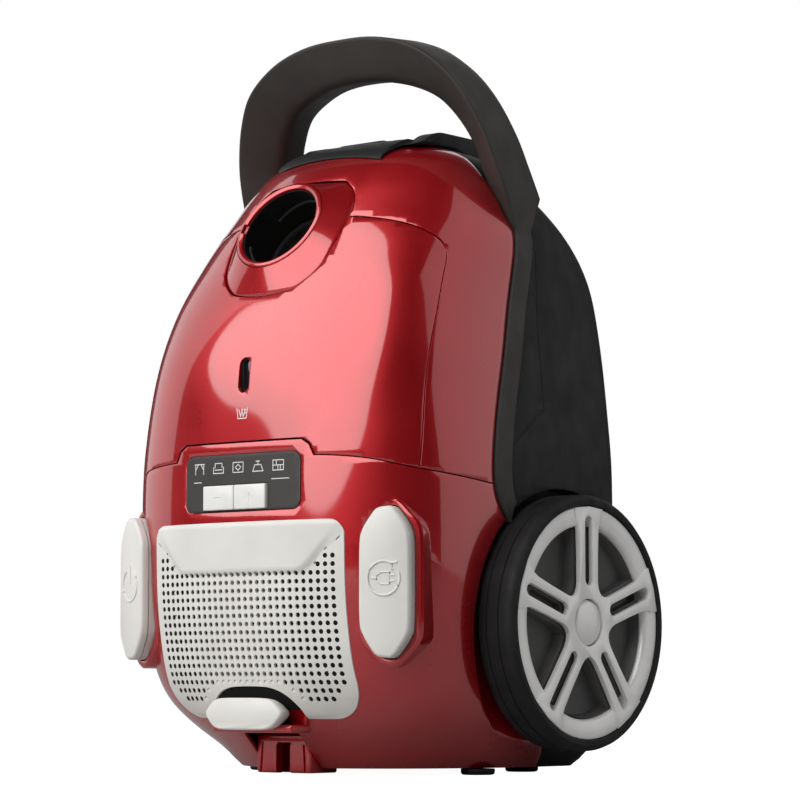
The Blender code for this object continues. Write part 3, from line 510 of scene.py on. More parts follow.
def turned(profile, centre, direction, segments=64):
    """Closed (radius, height) profile turned about direction through centre."""
    bm = bmesh.new()
    rows = []
    for s in range(segments):
        a = 2 * math.pi * s / segments
        rows.append([bm.verts.new((r * math.cos(a), r * math.sin(a), h)) for r, h in profile])
    for s in range(segments):
        here, after = rows[s], rows[(s + 1) % segments]
        for i in range(len(profile)):
            j = (i + 1) % len(profile)
            bm.faces.new((here[i], after[i], after[j], here[j]))
    bmesh.ops.remove_doubles(bm, verts=bm.verts, dist=1e-4)
    flat = [f for f in bm.faces if f.calc_area() < 1e-7]
    bmesh.ops.delete(bm, geom=flat, context="FACES")
    aim(bm, centre, direction)
    bmesh.ops.recalc_face_normals(bm, faces=bm.faces)
    return bm


def aim(bm, centre, direction):
    """Turn bm's +Z towards direction and move it to centre."""
    turn = Vector((0, 0, 1)).rotation_difference(Vector(direction)).to_matrix().to_4x4()
    bmesh.ops.transform(bm, matrix=Matrix.Translation(centre) @ turn, verts=bm.verts)


def disc(radius, centre, direction, low, high, segments=48):
    """Solid cylinder."""
    bm = bmesh.new()
    bmesh.ops.create_cone(bm, cap_ends=True, segments=segments, radius1=radius, radius2=radius,
                          depth=high - low)
    bmesh.ops.translate(bm, verts=bm.verts, vec=(0, 0, (low + high) / 2))
    aim(bm, centre, direction)
    return bm


def merged(parts):
    """One bmesh that holds several separate ones."""
    bm = bmesh.new()
    for part in parts:
        mesh = bpy.data.meshes.new("part")
        part.to_mesh(mesh)
        part.free()
        bm.from_mesh(mesh)
        bpy.data.meshes.remove(mesh)
    return bm


def flipped(side, bm):
    """bm as it is for side 1, mirrored in X for side -1."""
    if side < 0:
        bmesh.ops.scale(bm, verts=bm.verts, vec=(-1, 1, 1))
        bmesh.ops.reverse_faces(bm, faces=bm.faces)
    return bm


def smooth_line(points, count):
    """Catmull-Rom line through points, in count steps for each span."""
    line = []
    for k in range(len(points) - 1):
        p0 = points[max(k - 1, 0)]
        p1, p2 = points[k], points[k + 1]
        p3 = points[min(k + 2, len(points) - 1)]
        for i in range(count):
            t = i / count
            line.append(0.5 * ((2 * p1) + (p2 - p0) * t + (2 * p0 - 5 * p1 + 4 * p2 - p3) * t**2
                               + (3 * p1 - p0 - 3 * p2 + p3) * t**3))
    return line + [points[-1]]


def rod(path, radius, sides=8):
    """Closed tube of one radius along a list of points."""
    rings = []
    for i, p in enumerate(path):
        along = (path[min(i + 1, len(path) - 1)] - path[max(i - 1, 0)]).normalized()
        other = Vector((0, 0, 1)) if abs(along.z) < 0.9 else Vector((1, 0, 0))
        u = along.cross(other).normalized()
        v = along.cross(u)
        rings.append([tuple(p + (u * math.cos(a) + v * math.sin(a)) * radius)
                      for a in (2 * math.pi * k / sides for k in range(sides))])
    return skin(rings)


# ---- shells ----
def body_rings(front, inset, overlap):
    """Rings of the front or rear half of the machine, inset from the outer skin."""
    low, high = SKIN_LOW + inset, SKIN_TOP - inset
    count = round((high - low) / ROW_PITCH)
    rings = []
    for k in range(count + 1):
        z = low + (high - low) * k / count
        rear = curve(SPLIT, z)
        half = (front_section(z, inset, rear + overlap) if front
                else back_section(z, inset, rear - overlap))
        ring = [(p.x, p.y) for p in half] + [(-p.x, p.y) for p in reversed(half) if p.x > 0.01]
        rings.append([(x, y, z) for x, y in ring])
    return rings


def well(side, radius, floor):
    """Cylinder that clears the main wheel on one side."""
    return disc(radius, (side * floor, WHEEL_Y, WHEEL_Z), (side, 0, 0), 0, 80, 96)


def mirrored(half):
    """Outline of (x, z) points from its right half, which runs from the bottom to the top."""
    return [(-x, z) for x, z in half] + half[::-1]


SEAM_LINE = [(-140, 200), (-80, 182.7), (-53, 174.5), (0, 168), (60, 162)]
TAB = mirrored([(56, 150), (55, 176), (53.5, 183), (50, 189.3), (45, 192.3)])
LID_EDGE = [(-54, 150), (-53, 174), (-43, 232), (-25, 277.7), (-14, 300), (-13, 307), (-16, 313),
            (-24, 320), (-37, 326)]
PLATE = mirrored([(21, 281.6), (29, 285.5), (35, 291), (39, 298), (42, 312), (42.5, 330),
                  (38.5, 341), (32, 347.3), (23, 350.4)]) + [(0, 279.5)]
PLATE_MIDDLE = Vector((0, 316))


def eased(outline, closed=False, count=5):
    """Outline with a smooth curve through its points."""
    points = [Vector(p) for p in outline]
    if closed:
        line = smooth_line(points[-2:] + points + points[:2], count)
        return [tuple(p) for p in line[2 * count:-(count + 1)]]
    return [tuple(p) for p in smooth_line(points, count)]


# coordinates well clear of the machine's sides, front and top
CLEAR_X, CLEAR_Y, CLEAR_Z = 170, -140, 500


def above_seam(shift):
    """Everything above the seam between the lower shell and the lid."""
    line = [(y, z + shift) for y, z in eased(SEAM_LINE)]
    return prism(line + [(60, CLEAR_Z), (CLEAR_Y, CLEAR_Z)], "X", -CLEAR_X, CLEAR_X)


def lid_region(grow):
    """Everything ahead of the rear edge of the lid, up to its front corner by the inlet."""
    edge = [(y + grow, z + (grow if z > 300 else 0)) for y, z in eased(LID_EDGE)]
    return prism(edge + [(CLEAR_Y, 328 + grow), (CLEAR_Y, 150)], "X", -CLEAR_X, CLEAR_X)


def plate_region(grow):
    """Everything within the outline of the inlet plate."""
    outline = []
    for point in eased(PLATE, closed=True, count=4):
        away = (Vector(point) - PLATE_MIDDLE).normalized() * grow
        outline.append((point[0] + away.x, point[1] + away.y))
    return prism(outline, "Y", CLEAR_Y, 25)


def tab_region(grow):
    """The raised tab of the lower shell above the control panel."""
    outline = [(x * (1 + grow / 50), z + grow) for x, z in TAB]
    return prism(outline, "Y", CLEAR_Y, -60)


def half_shell(name, front, overlap, look):
    """The whole front or rear skin, hollow and with room for the main wheels."""
    shell = solid(name, skin(body_rings(front, 0, overlap)), look)
    hollow = solid("hollow", skin(body_rings(front, WALL, 6.0)), look)
    for side in (1, -1):
        cut(shell, well(side, WELL_R, WELL_X))
        cut(hollow, well(side, WELL_R + WALL, WELL_X - WALL))
    return cut(shell, hollow)


def rounded_corners(corners, count, shares):
    """Closed outline with a small curve at each corner, over a share of its two sides."""
    made = []
    for i, corner in enumerate(corners):
        c = Vector(corner)
        start = c.lerp(Vector(corners[i - 1]), shares[i])
        end = c.lerp(Vector(corners[(i + 1) % len(corners)]), shares[i])
        for k in range(count + 1):
            t = k / count
            made.append(tuple(start * (1 - t)**2 + c * 2 * t * (1 - t) + end * t**2))
    return made


def pedal_outline(grow, count):
    """Elongated hexagon with blunt ends, half width and half height in the pedal's plane."""
    w, h, chop = 15.4 + grow, 43.0 + grow, 13.0 + grow * 0.5
    blunt = 5.0
    corners = [(-w, -h + chop + blunt), (-w + 4, -h + chop - 3), (-blunt, -h + 1), (blunt, -h),
               (w - 3, -h + chop - 3), (w, -h + chop + blunt - 2), (w, h - chop - blunt),
               (w - 3, h - chop + 3), (blunt, h), (-blunt, h - 1), (-w + 3, h - chop + 2),
               (-w, h - chop - blunt)]
    return rounded_corners(corners, count, [0.3] * len(corners))


def pedal_point(u, v, depth):
    """Point of the right pedal: u across, v up and depth inwards along its travel."""
    inward = Vector((-math.sin(PEDAL_ANGLE), math.cos(PEDAL_ANGLE), 0))
    across = Vector((math.cos(PEDAL_ANGLE), math.sin(PEDAL_ANGLE), 0))
    return Vector(PEDAL_CENTRE) + across * u + Vector((0, 0, v)) + inward * depth


def pedal_solid(side, layers, count=3):
    """Skin of the pedal's outline; layers are (depth, growth of the outline)."""
    rings = [[tuple(pedal_point(u, v, depth)) for u, v in pedal_outline(grow, count)]
             for depth, grow in layers]
    return flipped(side, skin(rings))


TAB_ROOT = 176
# openings of the lower shell: behind the panel, behind its keys, for the hook and for the latch
LOWER_OPENINGS = (((-38, -110, 155), (38, -60, 182)), ((-30, -110, 153), (21.6, -60, 170)),
                  ((-21.5, -70, -5), (21.5, -20, 24.5)), ((-20, -110, 30), (20, -58, 43.5)))


def make_shells():
    """Lower shell, upper frame, lid and inlet plate, all parted from the one red skin."""
    skin_piece = half_shell("red_skin", True, -0.3, "red")

    def copy(name):
        return linked(name, skin_piece.data.copy())

    lower = copy("shell_lower")
    cut(lower, above_seam(-SEAM / 2))
    tab = copy("tab")
    cut(tab, tab_region(0), "INTERSECT")
    cut(tab, block((-CLEAR_X, CLEAR_Y, 0), (CLEAR_X, -CLEAR_Y, TAB_ROOT)))
    cut(lower, tab, "UNION")
    for side in (1, -1):
        boss = solid("boss", pedal_solid(side, [(9, 3.4), (10.5, 5.0), (34, 5.6)]), "red")
        cut(boss, block((-CLEAR_X, CLEAR_Y, 0), (CLEAR_X, -30, 300)), "INTERSECT")
        cut(lower, boss, "UNION")
        cut(lower, pedal_solid(side, [(-5, 0.8), (60, 0.8)]))
    cut(lower, block((-VENT_HALF, -110, VENT_Z[0]), (VENT_HALF, -60, VENT_Z[1])))
    cut(lower, skin(plate_rings(PANEL_HALF + GAP, PANEL_Z[0] - GAP, PANEL_Z[1] + GAP, (6, 6),
                                lambda x, z: 6.0, 1.5)))
    for low, high in LOWER_OPENINGS:
        cut(lower, block(low, high))
    cut(lower, block((-LATCH_HALF, -74.4, 24.9), (LATCH_HALF, -56, 29.6), 1.2, 3), "UNION")
    place(settle(lower, 0.5), "body", "red", "lower_shell")

    upper = copy("shell_upper")
    cut(upper, above_seam(SEAM / 2), "INTERSECT")
    cut(upper, tab_region(SEAM))
    cut(upper, lid_region(SEAM / 2))
    cut(upper, plate_region(SEAM))
    cut(upper, skin(handle_rings(2 * GAP, 1.6)))
    place(settle(upper, 0.5), "body", "red", "upper_frame")

    lid = copy("lid_cover")
    cut(lid, above_seam(SEAM / 2), "INTERSECT")
    cut(lid, tab_region(SEAM + 0.3))
    cut(lid, lid_region(-SEAM / 2), "INTERSECT")
    cut(lid, plate_region(GAP))
    cut(lid, prism(capsule(4.3, 10.4), "Y", -120, -60))
    place(settle(lid, 0.5), "lid_group", "red", "lid")

    fit("plate_inlet", inlet_mound(), "red", "lid_group", "inlet_plate", crease=40)
    bpy.data.objects.remove(skin_piece)


def ray_reach(outline, middle, ray):
    """How far a ray from middle runs to the outline."""
    far = 0.0
    for p, q in zip(outline, outline[1:] + outline[:1]):
        side = q - p
        cross = ray.x * side.y - ray.y * side.x
        if abs(cross) > 1e-9:
            start = p - middle
            t = (start.x * side.y - start.y * side.x) / cross
            u = (start.x * ray.y - start.y * ray.x) / cross
            if t > 0 and -1e-6 <= u <= 1 + 1e-6:
                far = max(far, t)
    return far


MOUND_STEPS = 120
MOUND_SHARES = (0.12, 0.25, 0.38, 0.5, 0.62, 0.74, 0.85, 0.94)


def inlet_mound():
    """Plate round the hose inlet: its face climbs from the skin to the rim of the collar."""
    outline = [Vector((x, z)) for x, z in eased(PLATE, closed=True, count=4)]
    up = Vector((0, math.sin(INLET_TILT), math.cos(INLET_TILT)))
    rings = []
    for k in range(MOUND_STEPS):
        a = 2 * math.pi * k / MOUND_STEPS
        ray = Vector((math.cos(a), math.sin(a)))
        edge = PLATE_MIDDLE + ray * (ray_reach(outline, PLATE_MIDDLE, ray) - 0.3)
        rim = Vector((edge.x, front_y(edge.x, edge.y) + 1.1, edge.y))
        turn = (edge - Vector((0, INLET_CENTRE.z))).normalized()
        hole = INLET_CENTRE + (Vector((1, 0, 0)) * turn.x + up * turn.y) * (COLLAR_R + 0.3)
        near = hole + INLET_AXIS * 3.1
        foot, inner = rim + Vector((0, 3.2, 0)), hole - INLET_AXIS * 3.0
        face = [inner, near - INLET_AXIS * 0.5, near + (rim - near) * 0.02]
        face += [near.lerp(rim, share) for share in MOUND_SHARES]
        face += [rim + Vector((0, 0.35, 0)), foot, foot.lerp(inner, 0.5)]
        rings.append([tuple(p) for p in face])
    return skin(rings, caps=False)


def capsule(half, high):
    """Upright slot outline with round ends, where the bag indicator sits."""
    points = []
    for rise, turn in ((high - half, 0), (half - high, math.pi)):
        for k in range(25):
            a = turn + math.pi * k / 24
            points.append((half * math.cos(a), WINDOW_Z + rise + half * math.sin(a)))
    return points


def plate_rings(half, low, high, corners, outward, inward, columns=40, rows=16):
    """Rings of a plate that follows the front skin, with its lower and upper corner radii.

    outward is how far the plate stands proud of the skin, as a function of x and z.
    """
    rings = []
    for i in range(columns + 1):
        x = -half * math.cos(math.pi * i / columns) * 0.999
        cuts = []
        for corner in corners:
            over = max(0.0, abs(x) - (half - corner))
            cuts.append(corner - math.sqrt(max(corner**2 - over**2, 0.0)))
        bottom, top = low + cuts[0], high - cuts[1]
        heights = [bottom + (top - bottom) * k / rows for k in range(rows + 1)]
        front = [(x, front_y(x, z) - outward(x, z), z) for z in heights]
        behind = [(x, front_y(x, z) + inward, z) for z in reversed(heights)]
        rings.append(front + behind)
    return rings


# ---- handle ----
HANDLE_STATIONS = [
    ((0, -2, 443), (0, 14.5, 418)),
    ((28, -1.5, 441.5), (22, 15, 416.5)),
    ((54.7, 0, 434), (42, 19, 411.5)),
    ((76.6, 2.6, 419.3), (58, 23, 403.5)),
    ((90, 9, 401), (69, 28.5, 391)),
    ((99, 17, 378), (77, 34, 375)),
    ((103, 25, 357), (82, 38, 356)),
    ((104.5, 33, 340), (86, 43, 340)),
]
STRIP_TOP = 322.0
STRIP_LOW = 146.0
STRIP_TIP = 144.0
STRIP_PROUD = 1.6
STRIP_DEEP = 4.5
STRIP_STEPS = 44


def handle_sections():
    """Outer crease and inner edge of the arch on the right side, in fine steps."""
    lines = []
    for row in zip(*HANDLE_STATIONS):
        points = [Vector(p) for p in row]
        mirror = Vector((-points[1].x, points[1].y, points[1].z))
        lines.append(smooth_line([mirror] + points, 6)[6:])
    return zip(*lines)


def handle_rings(grow, front_grow=0.0):
    """Cross-sections of the handle arch and the strips that carry it down the flanks."""
    half = []
    for a, b in handle_sections():
        out = (a - b).normalized() * grow
        lift = Vector((0, grow, 0))
        deep_a = a + Vector((0, 37, 3))
        deep_b = b + Vector((1 if b.x > 0.5 else 0, 25, 3))
        corners = [a + out - lift, b - out - lift, deep_b - out + lift, deep_a + out + lift]
        half.append(rounded_corners(corners, 4, (0.10, 0.22, 0.30, 0.30)))
    for k in range(STRIP_STEPS + 1):
        z = STRIP_TOP + (STRIP_LOW - STRIP_TOP) * k / STRIP_STEPS
        y0 = curve(SPLIT, z) + 1.0 - front_grow
        y1 = curve(SPLIT, z) + 16 * min((z - STRIP_TIP) / 14, 1) + grow
        x1 = curve(HALF_WIDTH, z) + STRIP_PROUD + grow
        x0 = curve(HALF_WIDTH, z) - STRIP_DEEP - grow
        corners = [(x1, y0, z), (x0, y0, z), (x0, y1, z), (x1, y1, z)]
        half.append(rounded_corners(corners, 4, (0.08, 0.05, 0.05, 0.10)))
    left = [[(-x, y, z) for x, y, z in ring] for ring in reversed(half[1:])]
    return left + half


def make_handle():
    fit("handle_grip", skin(handle_rings(0)), "handle", "body", "handle", crease=40)


# ---- black base ----
CREASE = [(16, 188), (53.5, 214), (54.8, 258.6), (62, 310.7)]     # groove on each flank: y, z
SCREW_R = 4.2                                                     # wells of the screws
SLOTS, SLOT_Z, SLOT_PITCH, SLOT_HALF = 9, 118, 7, 1.4             # air slots in the back


def make_base():
    base = half_shell("shell_base", False, 0.0, "black")
    cut(base, skin(handle_rings(GAP, 3.0)))
    cut(base, disc(CASTER_R + GAP, (0, 60, CASTER_Z), (0, 1, 0), 0, 120, 80))
    cut(base, disc(OUTLET_R, (OUTLET_X, 100, OUTLET_Z), (0, 1, 0), 0, 60, 48))
    crease = [Vector(p) for p in CREASE]
    steps = [a.lerp(b, t) for a, b in zip(crease, crease[1:]) for t in (0, 0.33, 0.67)]
    for side in (1, -1):
        path = [Vector((side * (front_x(y, z) + 0.35), y, z)) for y, z in steps + crease[-1:]]
        cut(base, rod(path, 0.7))
        for row in range(3):
            for column in range(2):
                x, z = side * (22 + 44 * column), 24 + 110 * row
                cut(base, disc(SCREW_R, (x, 128.6, z), (0, 1, 0), 0, 20, 32))
    for k in range(SLOTS):
        z = SLOT_Z + SLOT_PITCH * k
        cut(base, block((-30, 129.4, z - SLOT_HALF), (30, 140, z + SLOT_HALF), 0.6))
    place(settle(base, 0.4), "body", "black", "base_shell")


# ---- surroundings ----
AMBIENT = 0.03
FLOOR_REACH = 6.0
FLOOR_COLOUR = (0.4, 0.4, 0.4, 1)
FLOOR_GLOW = 0.97
WHITE = (1, 1, 1, 1)
LAMP_TARGET = Vector((0, 0, 0.2))
LAMP_DISTANCE = 4.0
# name, degrees round from the front, degrees up, roll, size in m, radiance; a rolled lamp is oval
LAMPS = (("key", -10.5, 37.4, 30, (7.1, 5.1), 3.0), ("left", -84, 22, 0, (3.2, 3.2), 0.9),
         ("side", 131, 29, 0, (4.9, 5.4), 0.62), ("rear", 215, 25, 0, (2.9, 2.6), 0.8))
CAMERA_PLACE = (1.2339, -1.4315, 0.0523)
CAMERA_HEADING = 40.115
CAMERA_PITCH = 5.22
CAMERA_LENS = 140.4


def camera_mix(tree, seen, unseen):
    """Mix of two shaders: what the camera sees and what lights and reflections see."""
    path = node(tree, "LightPath", {})
    return node(tree, "MixShader", {"Fac": path.outputs["Is Camera Ray"], 1: unseen,
                                    2: seen}).outputs["Shader"]


def pale_floor():
    """Pale floor that shows as bright as the backdrop and lights the object like matt board."""
    made = bpy.data.materials.new("floor")
    made.use_nodes = True
    tree = made.node_tree
    board = feed(tree, tree.nodes["Principled BSDF"],
                 {"Base Color": FLOOR_COLOUR, "Roughness": 0.7}).outputs["BSDF"]
    glow = node(tree, "Emission", {"Color": WHITE, "Strength": FLOOR_GLOW}).outputs["Emission"]
    dark = node(tree, "Emission", {"Strength": 0.0}).outputs["Emission"]
    both = node(tree, "AddShader", {0: board, 1: camera_mix(tree, glow, dark)})
    feed(tree, tree.nodes["Material Output"], {"Surface": both.outputs["Shader"]})
    return made


def backdrop():
    """World that is white to the camera and dim to everything else."""
    world = bpy.data.worlds.new("studio")
    world.use_nodes = True
    tree = world.node_tree
    dim = feed(tree, tree.nodes["Background"], {"Color": WHITE, "Strength": AMBIENT})
    bright = node(tree, "Background", {"Color": WHITE})
    mix = camera_mix(tree, bright.outputs["Background"], dim.outputs["Background"])
    feed(tree, tree.nodes["World Output"], {"Surface": mix})
    return world


def bearing(heading, rise):
    """Unit vector from degrees round from the front and degrees up."""
    turn, lift = math.radians(heading), math.radians(rise)
    return Vector((math.sin(turn) * math.cos(lift), -math.cos(turn) * math.cos(lift),
                   math.sin(lift)))


def stand(name, data, where, ahead, roll=0.0):
    """Lamp or camera at a place, looking ahead."""
    made = linked(name, data)
    made.location = where
    made.rotation_mode = "QUATERNION"
    made.rotation_quaternion = (ahead.to_track_quat("-Z", "Y")
                                @ Quaternion((0, 0, 1), math.radians(roll)))
    return made


def studio():
    """Pale floor, soft light and the camera."""
    mesh = bpy.data.meshes.new("floor")
    corners = ((-1, -1), (1, -1), (1, 1), (-1, 1))
    mesh.from_pydata([(x * FLOOR_REACH, y * FLOOR_REACH, 0) for x, y in corners], [],
                     [(0, 1, 2, 3)])
    mesh.materials.append(pale_floor())
    floor = linked("floor", mesh)

    bpy.context.scene.world = backdrop()
    bpy.context.scene.view_settings.view_transform = "Standard"
    for name, heading, rise, roll, size, radiance in LAMPS:
        light = bpy.data.lights.new(name, "AREA")
        light.shape = "ELLIPSE" if roll else "RECTANGLE"
        light.size, light.size_y = size
        area = size[0] * size[1] * (math.pi / 4 if roll else 1)
        light.energy = radiance * math.pi * area
        toward = bearing(heading, rise)
        stand(name, light, LAMP_TARGET + toward * LAMP_DISTANCE, -toward, roll)

    lens = bpy.data.cameras.new("camera")
    lens.lens = CAMERA_LENS
    lens.sensor_width = 36.0
    lens.clip_start, lens.clip_end = 0.05, 40.0
    ahead = -bearing(CAMERA_HEADING, -CAMERA_PITCH)
    bpy.context.scene.camera = stand("camera", lens, CAMERA_PLACE, ahead)


def dress_cad_nodes():
    """Give each CAD piece that still shows the material of its slot."""
    slots = {part.get("node", part.get("name")): part.get("material_slot")
             for part in frame["record"]["subparts"]}
    for name, shown in frame["nodes"].items():
        if shown.hide_render:
            continue
        held = shown.data.materials
        slot = slots.get(name) or (held[0].name if held else "grey")
        look = MATERIALS.get(slot, MATERIALS["grey"])
        for k in range(len(held)):
            held[k] = look
        if not held:
            held.append(look)


# ---- lid fittings ----
def make_inlet():
    """Collar with a rolled lip, bayonet notches and an inner ramp, and the rubber seal."""
    r, c = INLET_R, COLLAR_R
    profile = [(r, -24), (c - 2, -24), (c - 2, -4), (c, -4), (c, 2.9), (c - 0.2, 3.5),
               (c - 0.8, 3.9), (c - 1.8, 4.1), (r + 0.9, 3.6), (r + 0.3, 3.3), (r, 2.7)]
    collar = solid("collar_inlet", turned(profile, INLET_CENTRE, INLET_AXIS, 128), "red")
    for x in (-r - 0.2, r + 0.2):
        notch = block((x - 1.6, -3.2, 1.4), (x + 1.6, 3.2, 9), 0.5)
        aim(notch, INLET_CENTRE, INLET_AXIS)
        cut(collar, notch)
    place(settle(collar, 0.2), "lid_group", "red", "inlet_collar")
    # near-black sleeve over the inside of the bore: painted shade, so the tube reads dark
    sleeve = [(r - 0.5, -24), (r - 0.05, -24), (r - 0.05, 1.6), (r - 0.5, 1.4)]
    fit("collar_shade_liner", turned(sleeve, INLET_CENTRE, INLET_AXIS, 128), "painted_shade", "lid_group")

    turn = Vector((0, 0, 1)).rotation_difference(INLET_AXIS)
    ramps = []
    for start in (20, 200):
        path = []
        for k in range(25):
            a = math.radians(start + 120 * k / 24)
            local = Vector(((r - 0.7) * math.cos(a), (r - 0.7) * math.sin(a), -4 - 9 * k / 24))
            path.append(INLET_CENTRE + turn @ local)
        ramps.append(rod(path, 1.1, 10))
    fit("collar_ramps", merged(ramps), "black", "lid_group")

    lip = [(r - 3.5, -25.4), (r - 3.1, -24.5), (c - 2.4, -24.4), (c - 2, -25), (c - 2, -27.2),
           (r - 1.5, -27.3), (r - 3.4, -26.4)]
    seal = turned(lip, INLET_CENTRE, INLET_AXIS, 96)
    fit("seal_inlet", seal, "rubber", "lid_group", "inlet_seal")


def make_window():
    """Bag-full indicator: dark bezel, glass and the flag behind it."""
    outer, inner = capsule(4.9, 11.0), capsule(3.1, 9.1)
    y = front_y(0, WINDOW_Z)
    layers = ((outer, 3.2), (inner, 3.2), (inner, 6.8), (outer, 6.8))
    rings = [[(x, y + depth, z) for x, z in outline] for outline, depth in layers]
    fit("window_bezel", skin(rings, caps=False), "black", "lid_group", bevel=0.25)
    glass = prism(capsule(3.0, 9.0), "Y", y + 4.2, y + 5.6)
    fit("window_glass", glass, "window", "lid_group", "bag_full_window", bevel=0.2)
    flag = block((-2.4, y + 5.9, WINDOW_Z - 8.4), (2.4, y + 6.7, WINDOW_Z - 4.6), 0.4)
    fit("window_flag", flag, "red", "lid_group")


INK_SUNK = 0.25
STROKE_STEPS = 3


def ribbon(points, half, lift):
    """Flat line of marking that follows the front skin; points are (x, z)."""
    rings = []
    for i, (x, z) in enumerate(points):
        before = Vector(points[max(i - 1, 0)])
        after = Vector(points[min(i + 1, len(points) - 1)])
        along = (after - before).normalized()
        side = Vector((-along.y, along.x)) * half
        ring = []
        for s, raise_by in ((1, lift), (-1, lift), (-1, -INK_SUNK), (1, -INK_SUNK)):
            px, pz = x + side.x * s, z + side.y * s
            ring.append((px, front_y(px, pz) - raise_by, pz))
        rings.append(ring)
    return skin(rings)


def lines(strokes, half, lift):
    """Several straight-edged strokes as one mesh; a stroke is a list of (x, z) corners."""
    parts = []
    for stroke in strokes:
        for a, b in zip(stroke, stroke[1:]):
            a, b = Vector(a), Vector(b)
            reach = (b - a).normalized() * half
            steps = [k / STROKE_STEPS for k in range(STROKE_STEPS + 1)]
            parts.append(ribbon([tuple((a - reach).lerp(b + reach, t)) for t in steps], half, lift))
    return merged(parts)


def shifted(strokes, x, z):
    """Strokes drawn round the origin, moved to (x, z)."""
    return [[(u + x, v + z) for u, v in stroke] for stroke in strokes]


MARK_Z = 209.6
BAG_MARK = [[(-4.2, 3.0), (-3.2, -3.0), (3.2, -3.0), (4.2, 3.0)], [(-2.6, 2.2), (-1.3, -1.6)],
            [(-0.4, 2.2), (0.8, -1.6)], [(1.8, 2.2), (2.6, -0.2)], [(2.6, 2.2), (0.9, -1.9)],
            [(0.2, 2.2), (-1.3, -1.9)]]


def make_bag_mark():
    """Small printed picture of a dust bag under the indicator."""
    mark = lines(shifted(BAG_MARK, 0, MARK_Z), 0.28, 0.10)
    place(solid("mark_bag", mark, "mark"), "lid_group", "mark")


# ---- front controls ----
OUTLINE = [(-4, -2.9), (4, -2.9), (4, 2.9), (-4, 2.9), (-4, -2.9)]
# strokes of the generic floor pictures: curtain, sofa, rug, carpet and tiles
ICONS = [
    [[(-4, 2.9), (4, 2.9)], [(-3.4, 2.9), (-3.4, -2.9)], [(3.4, 2.9), (3.4, -2.9)],
     [(-3.4, -0.6), (-1, 2.9)], [(3.4, -0.6), (1, 2.9)]],
    [[(-4, 0.6), (-4, -2.9), (4, -2.9), (4, 0.6)], [(-2.8, -0.9), (2.8, -0.9)],
     [(-2.8, 0.4), (-2.8, 2.9), (2.8, 2.9), (2.8, 0.4)]],
    [OUTLINE, [(-2.2, 0), (0, 1.7), (2.2, 0), (0, -1.7), (-2.2, 0)]],
    [[(-4, -2.9), (4, -2.9), (2.4, 0.8), (-2.4, 0.8), (-4, -2.9)], [(-1.4, 2.9), (1.4, 2.9)],
     [(0, 0.8), (0, 2.9)]],
    [OUTLINE, [(-4, 0), (4, 0)], [(-1.4, 2.9), (-1.4, 0)], [(1.6, 0), (1.6, -2.9)],
     [(-0.2, 0), (-0.2, -2.9)]],
]
ICON_X, ICON_Z, ICON_PITCH = -33.5, 178.2, 15.6
SCALE_Z = 170.4
INK_HALF, INK_LIFT = 0.24, 0.42


def make_panel():
    panel = solid("panel_control", skin(plate_rings(PANEL_HALF, *PANEL_Z, (6, 6),
                                                    lambda x, z: 0.3, 1.1)), "panel")
    cut(panel, block((BUTTON_EDGES[0] - GAP, -110, BUTTON_Z[0] - GAP),
                     (BUTTON_EDGES[2] + GAP, -60, BUTTON_Z[1] + GAP)))
    cut(panel, block((-60, -90, 100), (60, -81.9, 152.9)))
    place(settle(panel, 0.35), "body", "panel", "control_panel")

    strokes = []
    for k, drawing in enumerate(ICONS):
        strokes += shifted(drawing, ICON_X + ICON_PITCH * k, ICON_Z)
    scale = [[(-38, SCALE_Z), (-32, SCALE_Z)], [(24, SCALE_Z), (37, SCALE_Z)]]
    for name, drawn in (("panel_icons", strokes), ("panel_scale", scale)):
        place(solid(name, lines(drawn, INK_HALF, INK_LIFT), "mark"), "body", "mark")


def make_buttons():
    z = sum(BUTTON_Z) / 2
    left, middle, right = BUTTON_EDGES
    for word, x0, x1 in (("minus", left, middle), ("plus", middle, right)):
        x = (x0 + x1) / 2
        key = block((x0 + 0.2, -86, BUTTON_Z[0]), (x1 - 0.2, -79.6, BUTTON_Z[1]), 0.9, 4)
        cap = solid("key_" + word, key, "button")
        for wide, high in ((2.6, 0.35), (0.35, 2.6))[:2 if word == "plus" else 1]:
            cut(cap, block((x - wide, -86.9, z - high), (x + wide, -85.75, z + high), 0.1))
        place(settle(cap, 0.0, 40), word + "_key", "button", "button_" + word)


SIGN_MIDDLE = 2.0
SIGN_R = 9.6


def sign_rod(points, radius):
    """Raised line of a pedal's sign; points are (across, up) from the middle of the sign."""
    return rod([pedal_point(u, SIGN_MIDDLE + v, 0.05) for u, v in points], radius)


